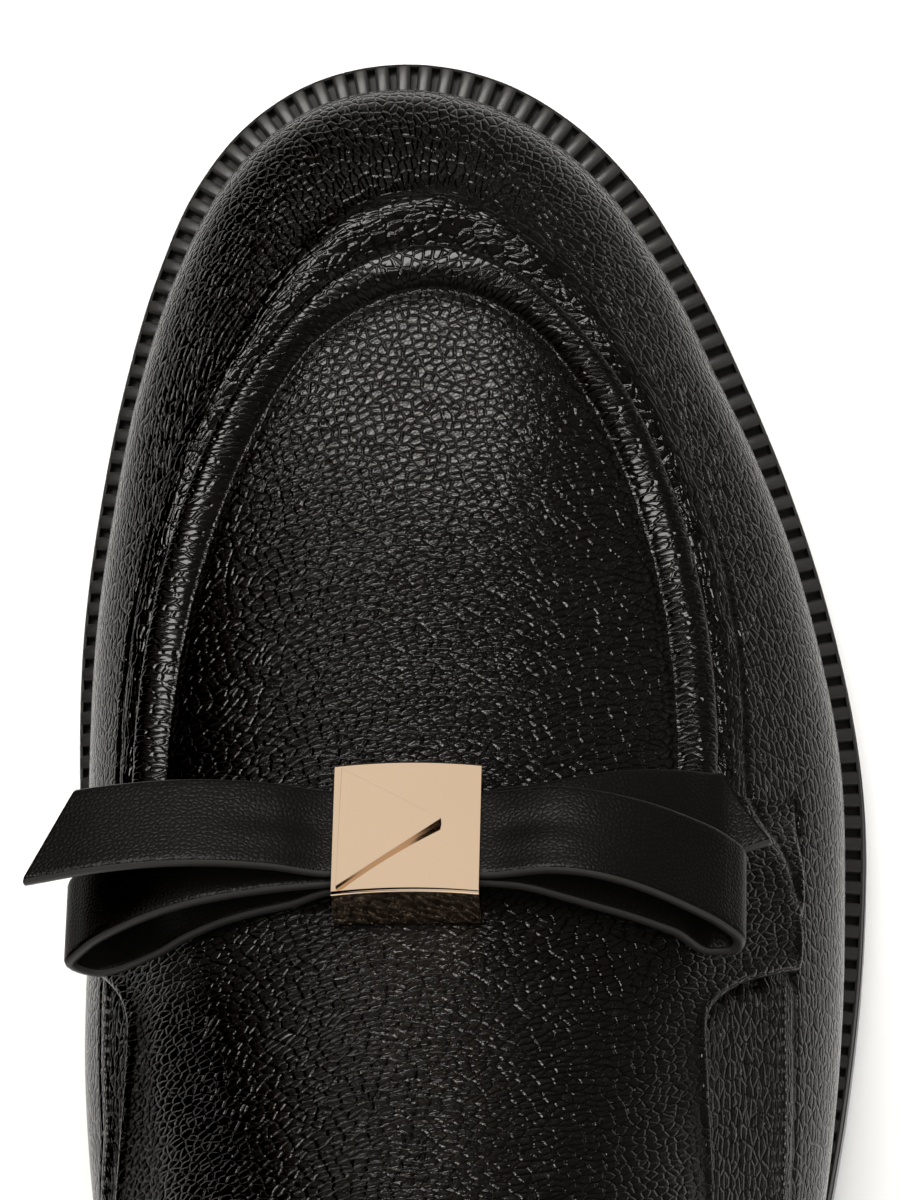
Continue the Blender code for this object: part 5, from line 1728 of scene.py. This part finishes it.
# place, size and radiance, then which piece it lights alone or spares, and which rays don't see it
lights = {
    "overhead": ((0.35, -0.2, 1.95), (1.6, 1.6), 5.2, {"glossy": False}),
    "toe softbox": ((-0.34, 0.7, 1.42), (1.4, 0.44), 16.5, {"spare": "knot_metal"}),
    "ceiling": ((0.0, -1.05, 1.2), (1.6, 1.1), 0.3, {"diffuse": False, "spare": "knot_metal"}),
    "toe strip": ((-0.05, 0.55, 0.27), (0.8, 0.11), 0.7, {"diffuse": False, "spare": "knot_metal"}),
    "heel card": ((0.0, -1.3, 0.6), (2.4, 1.1), 0.9, {"only": "knot_metal"}),
    "medial card": ((-1.4, 0.1, 0.5), (2.2, 1.0), 0.7, {"only": "knot_metal"}),
    "lateral card": ((1.4, 0.1, 0.5), (2.2, 1.0), 0.7, {"only": "knot_metal"}),
    "top card": ((0.5, -0.5, 1.5), (1.8, 1.4), 0.7, {"only": "knot_metal"}),
    "lateral glow": ((1.5, 0.05, 0.42), (2.2, 0.6), 0.4, {"diffuse": False, "only": "upper_leather"}),
    "metal card": ((-0.06, 1.3, 0.9), (2.4, 1.2), 0.85, {"only": "knot_metal"}),
}
# what the reflections see round the set: axis, where a glow starts and ends along it, brightness
surround = [
    ("Z", -0.14, -0.85, 1.0),
    ("X", 0.2, 0.9, 0.1),
    ("X", -0.2, -0.9, -0.35),
    ("Y", -0.2, -0.9, 0.5),
]
zenith = {"From Min": 0.6, "From Max": 0.1, "To Min": 0.05, "To Max": 1.0}  # the glow dies away overhead


def buildFloor():
    material, tree, shader = newMaterial("pale_paper_sweep")  # matt paper, so only soft shade shows on it
    place = addNode(tree, "ShaderNodeTexCoord").outputs["Object"]
    fibre = addNode(tree, "ShaderNodeTexNoise", inputs={"Vector": place, "Scale": studio["fibres"]})
    bump = addNode(tree, "ShaderNodeBump", inputs={
        "Distance": studio["fibreRelief"], "Height": fibre.outputs["Fac"]})
    tree.links.new(bump.outputs[0], shader.inputs["Normal"])
    shader.inputs["Base Color"].default_value = linear(studio["floor"])
    shader.inputs["Roughness"].default_value = studio["floorRoughness"]
    mesh = bpy.data.meshes.new("floor")
    half = studio["floorHalf"]
    corners = [(-half, -half, 0), (half, -half, 0), (half, half, 0), (-half, half, 0)]
    mesh.from_pydata(corners, [], [(0, 1, 2, 3)])
    mesh.materials.append(material)
    floor = bpy.data.objects.new("floor", mesh)
    bpy.context.scene.collection.objects.link(floor)
    floor.visible_glossy = False


def addLight(name, place, size, radiance, options):
    data = bpy.data.lights.new(name, "AREA")
    data.shape = "RECTANGLE"
    data.size, data.size_y = size
    data.energy = radiance * math.pi * data.size * data.size_y
    light = bpy.data.objects.new(name, data)
    light.location = place
    light.rotation_euler = (Vector(place) - Vector(studio["lit"])).to_track_quat("Z", "Y").to_euler()
    light.visible_glossy = options.get("glossy", True)
    light.visible_diffuse = options.get("diffuse", True)
    if light.visible_glossy:
        data.color = studio["warmth"]
    bpy.context.scene.collection.objects.link(light)
    named = options.get("only") or options.get("spare")
    if named:  # lights one piece alone, or all but one
        lit = bpy.data.collections.new(name)
        lit.objects.link(bpy.data.objects[named])
        light.light_linking.receiver_collection = lit
        if "spare" in options:
            lit.collection_objects[0].light_linking.link_state = "EXCLUDE"


def buildLights():
    for name, (place, size, radiance, options) in lights.items():
        addLight(name, place, size, radiance, options)
    world = bpy.data.worlds.new("studio")
    world.use_nodes = True
    tree = world.node_tree
    away = addNode(tree, "ShaderNodeTexCoord").outputs["Generated"]
    parts = addNode(tree, "ShaderNodeSeparateXYZ", inputs={0: away}).outputs
    smooth = {"interpolation_type": "SMOOTHSTEP"}
    glow = None
    for axis, low, high, strength in surround:
        part = addNode(tree, "ShaderNodeMapRange", smooth, {
            "Value": parts[axis], "From Min": low, "From Max": high, "To Min": 0.0, "To Max": strength})
        if glow is None:
            glow = part.outputs[0]
        else:
            glow = addNode(tree, "ShaderNodeMath", inputs={0: glow, 1: part.outputs[0]}).outputs[0]
    height = addNode(tree, "ShaderNodeMapRange", smooth, {"Value": parts["Z"], **zenith}).outputs[0]
    glow = addNode(tree, "ShaderNodeMath", {"operation": "MULTIPLY"}, {0: glow, 1: height}).outputs[0]
    background = tree.nodes["Background"]
    tree.links.new(glow, background.inputs["Strength"])
    background.inputs["Color"].default_value = (*studio["warmth"], 1.0)
    bpy.context.scene.world = world


def buildCamera():
    tilt, side = math.radians(studio["tilt"]), math.radians(studio["side"])
    level = math.cos(tilt)
    back = Vector((math.sin(side) * level, -math.sin(tilt), math.cos(side) * level)).normalized()
    right = Vector((0, 1, 0)).cross(back).normalized()
    up = back.cross(right)
    place = Vector(studio["aim"]) * mm + back * studio["distance"]
    data = bpy.data.cameras.new("camera")
    data.sensor_fit = "VERTICAL"
    data.sensor_height = studio["sensor"]
    data.lens = studio["sensor"] * studio["distance"] / (studio["rows"] * studio["photoScale"] * mm)
    camera = bpy.data.objects.new("camera", data)
    camera.matrix_world = Matrix.LocRotScale(place, Matrix((right, up, back)).transposed(), None)
    bpy.context.scene.collection.objects.link(camera)
    bpy.context.scene.camera = camera


buildFloor()
buildLights()
buildCamera()
bpy.context.scene.view_settings.view_transform = "Standard"
print("studio set")
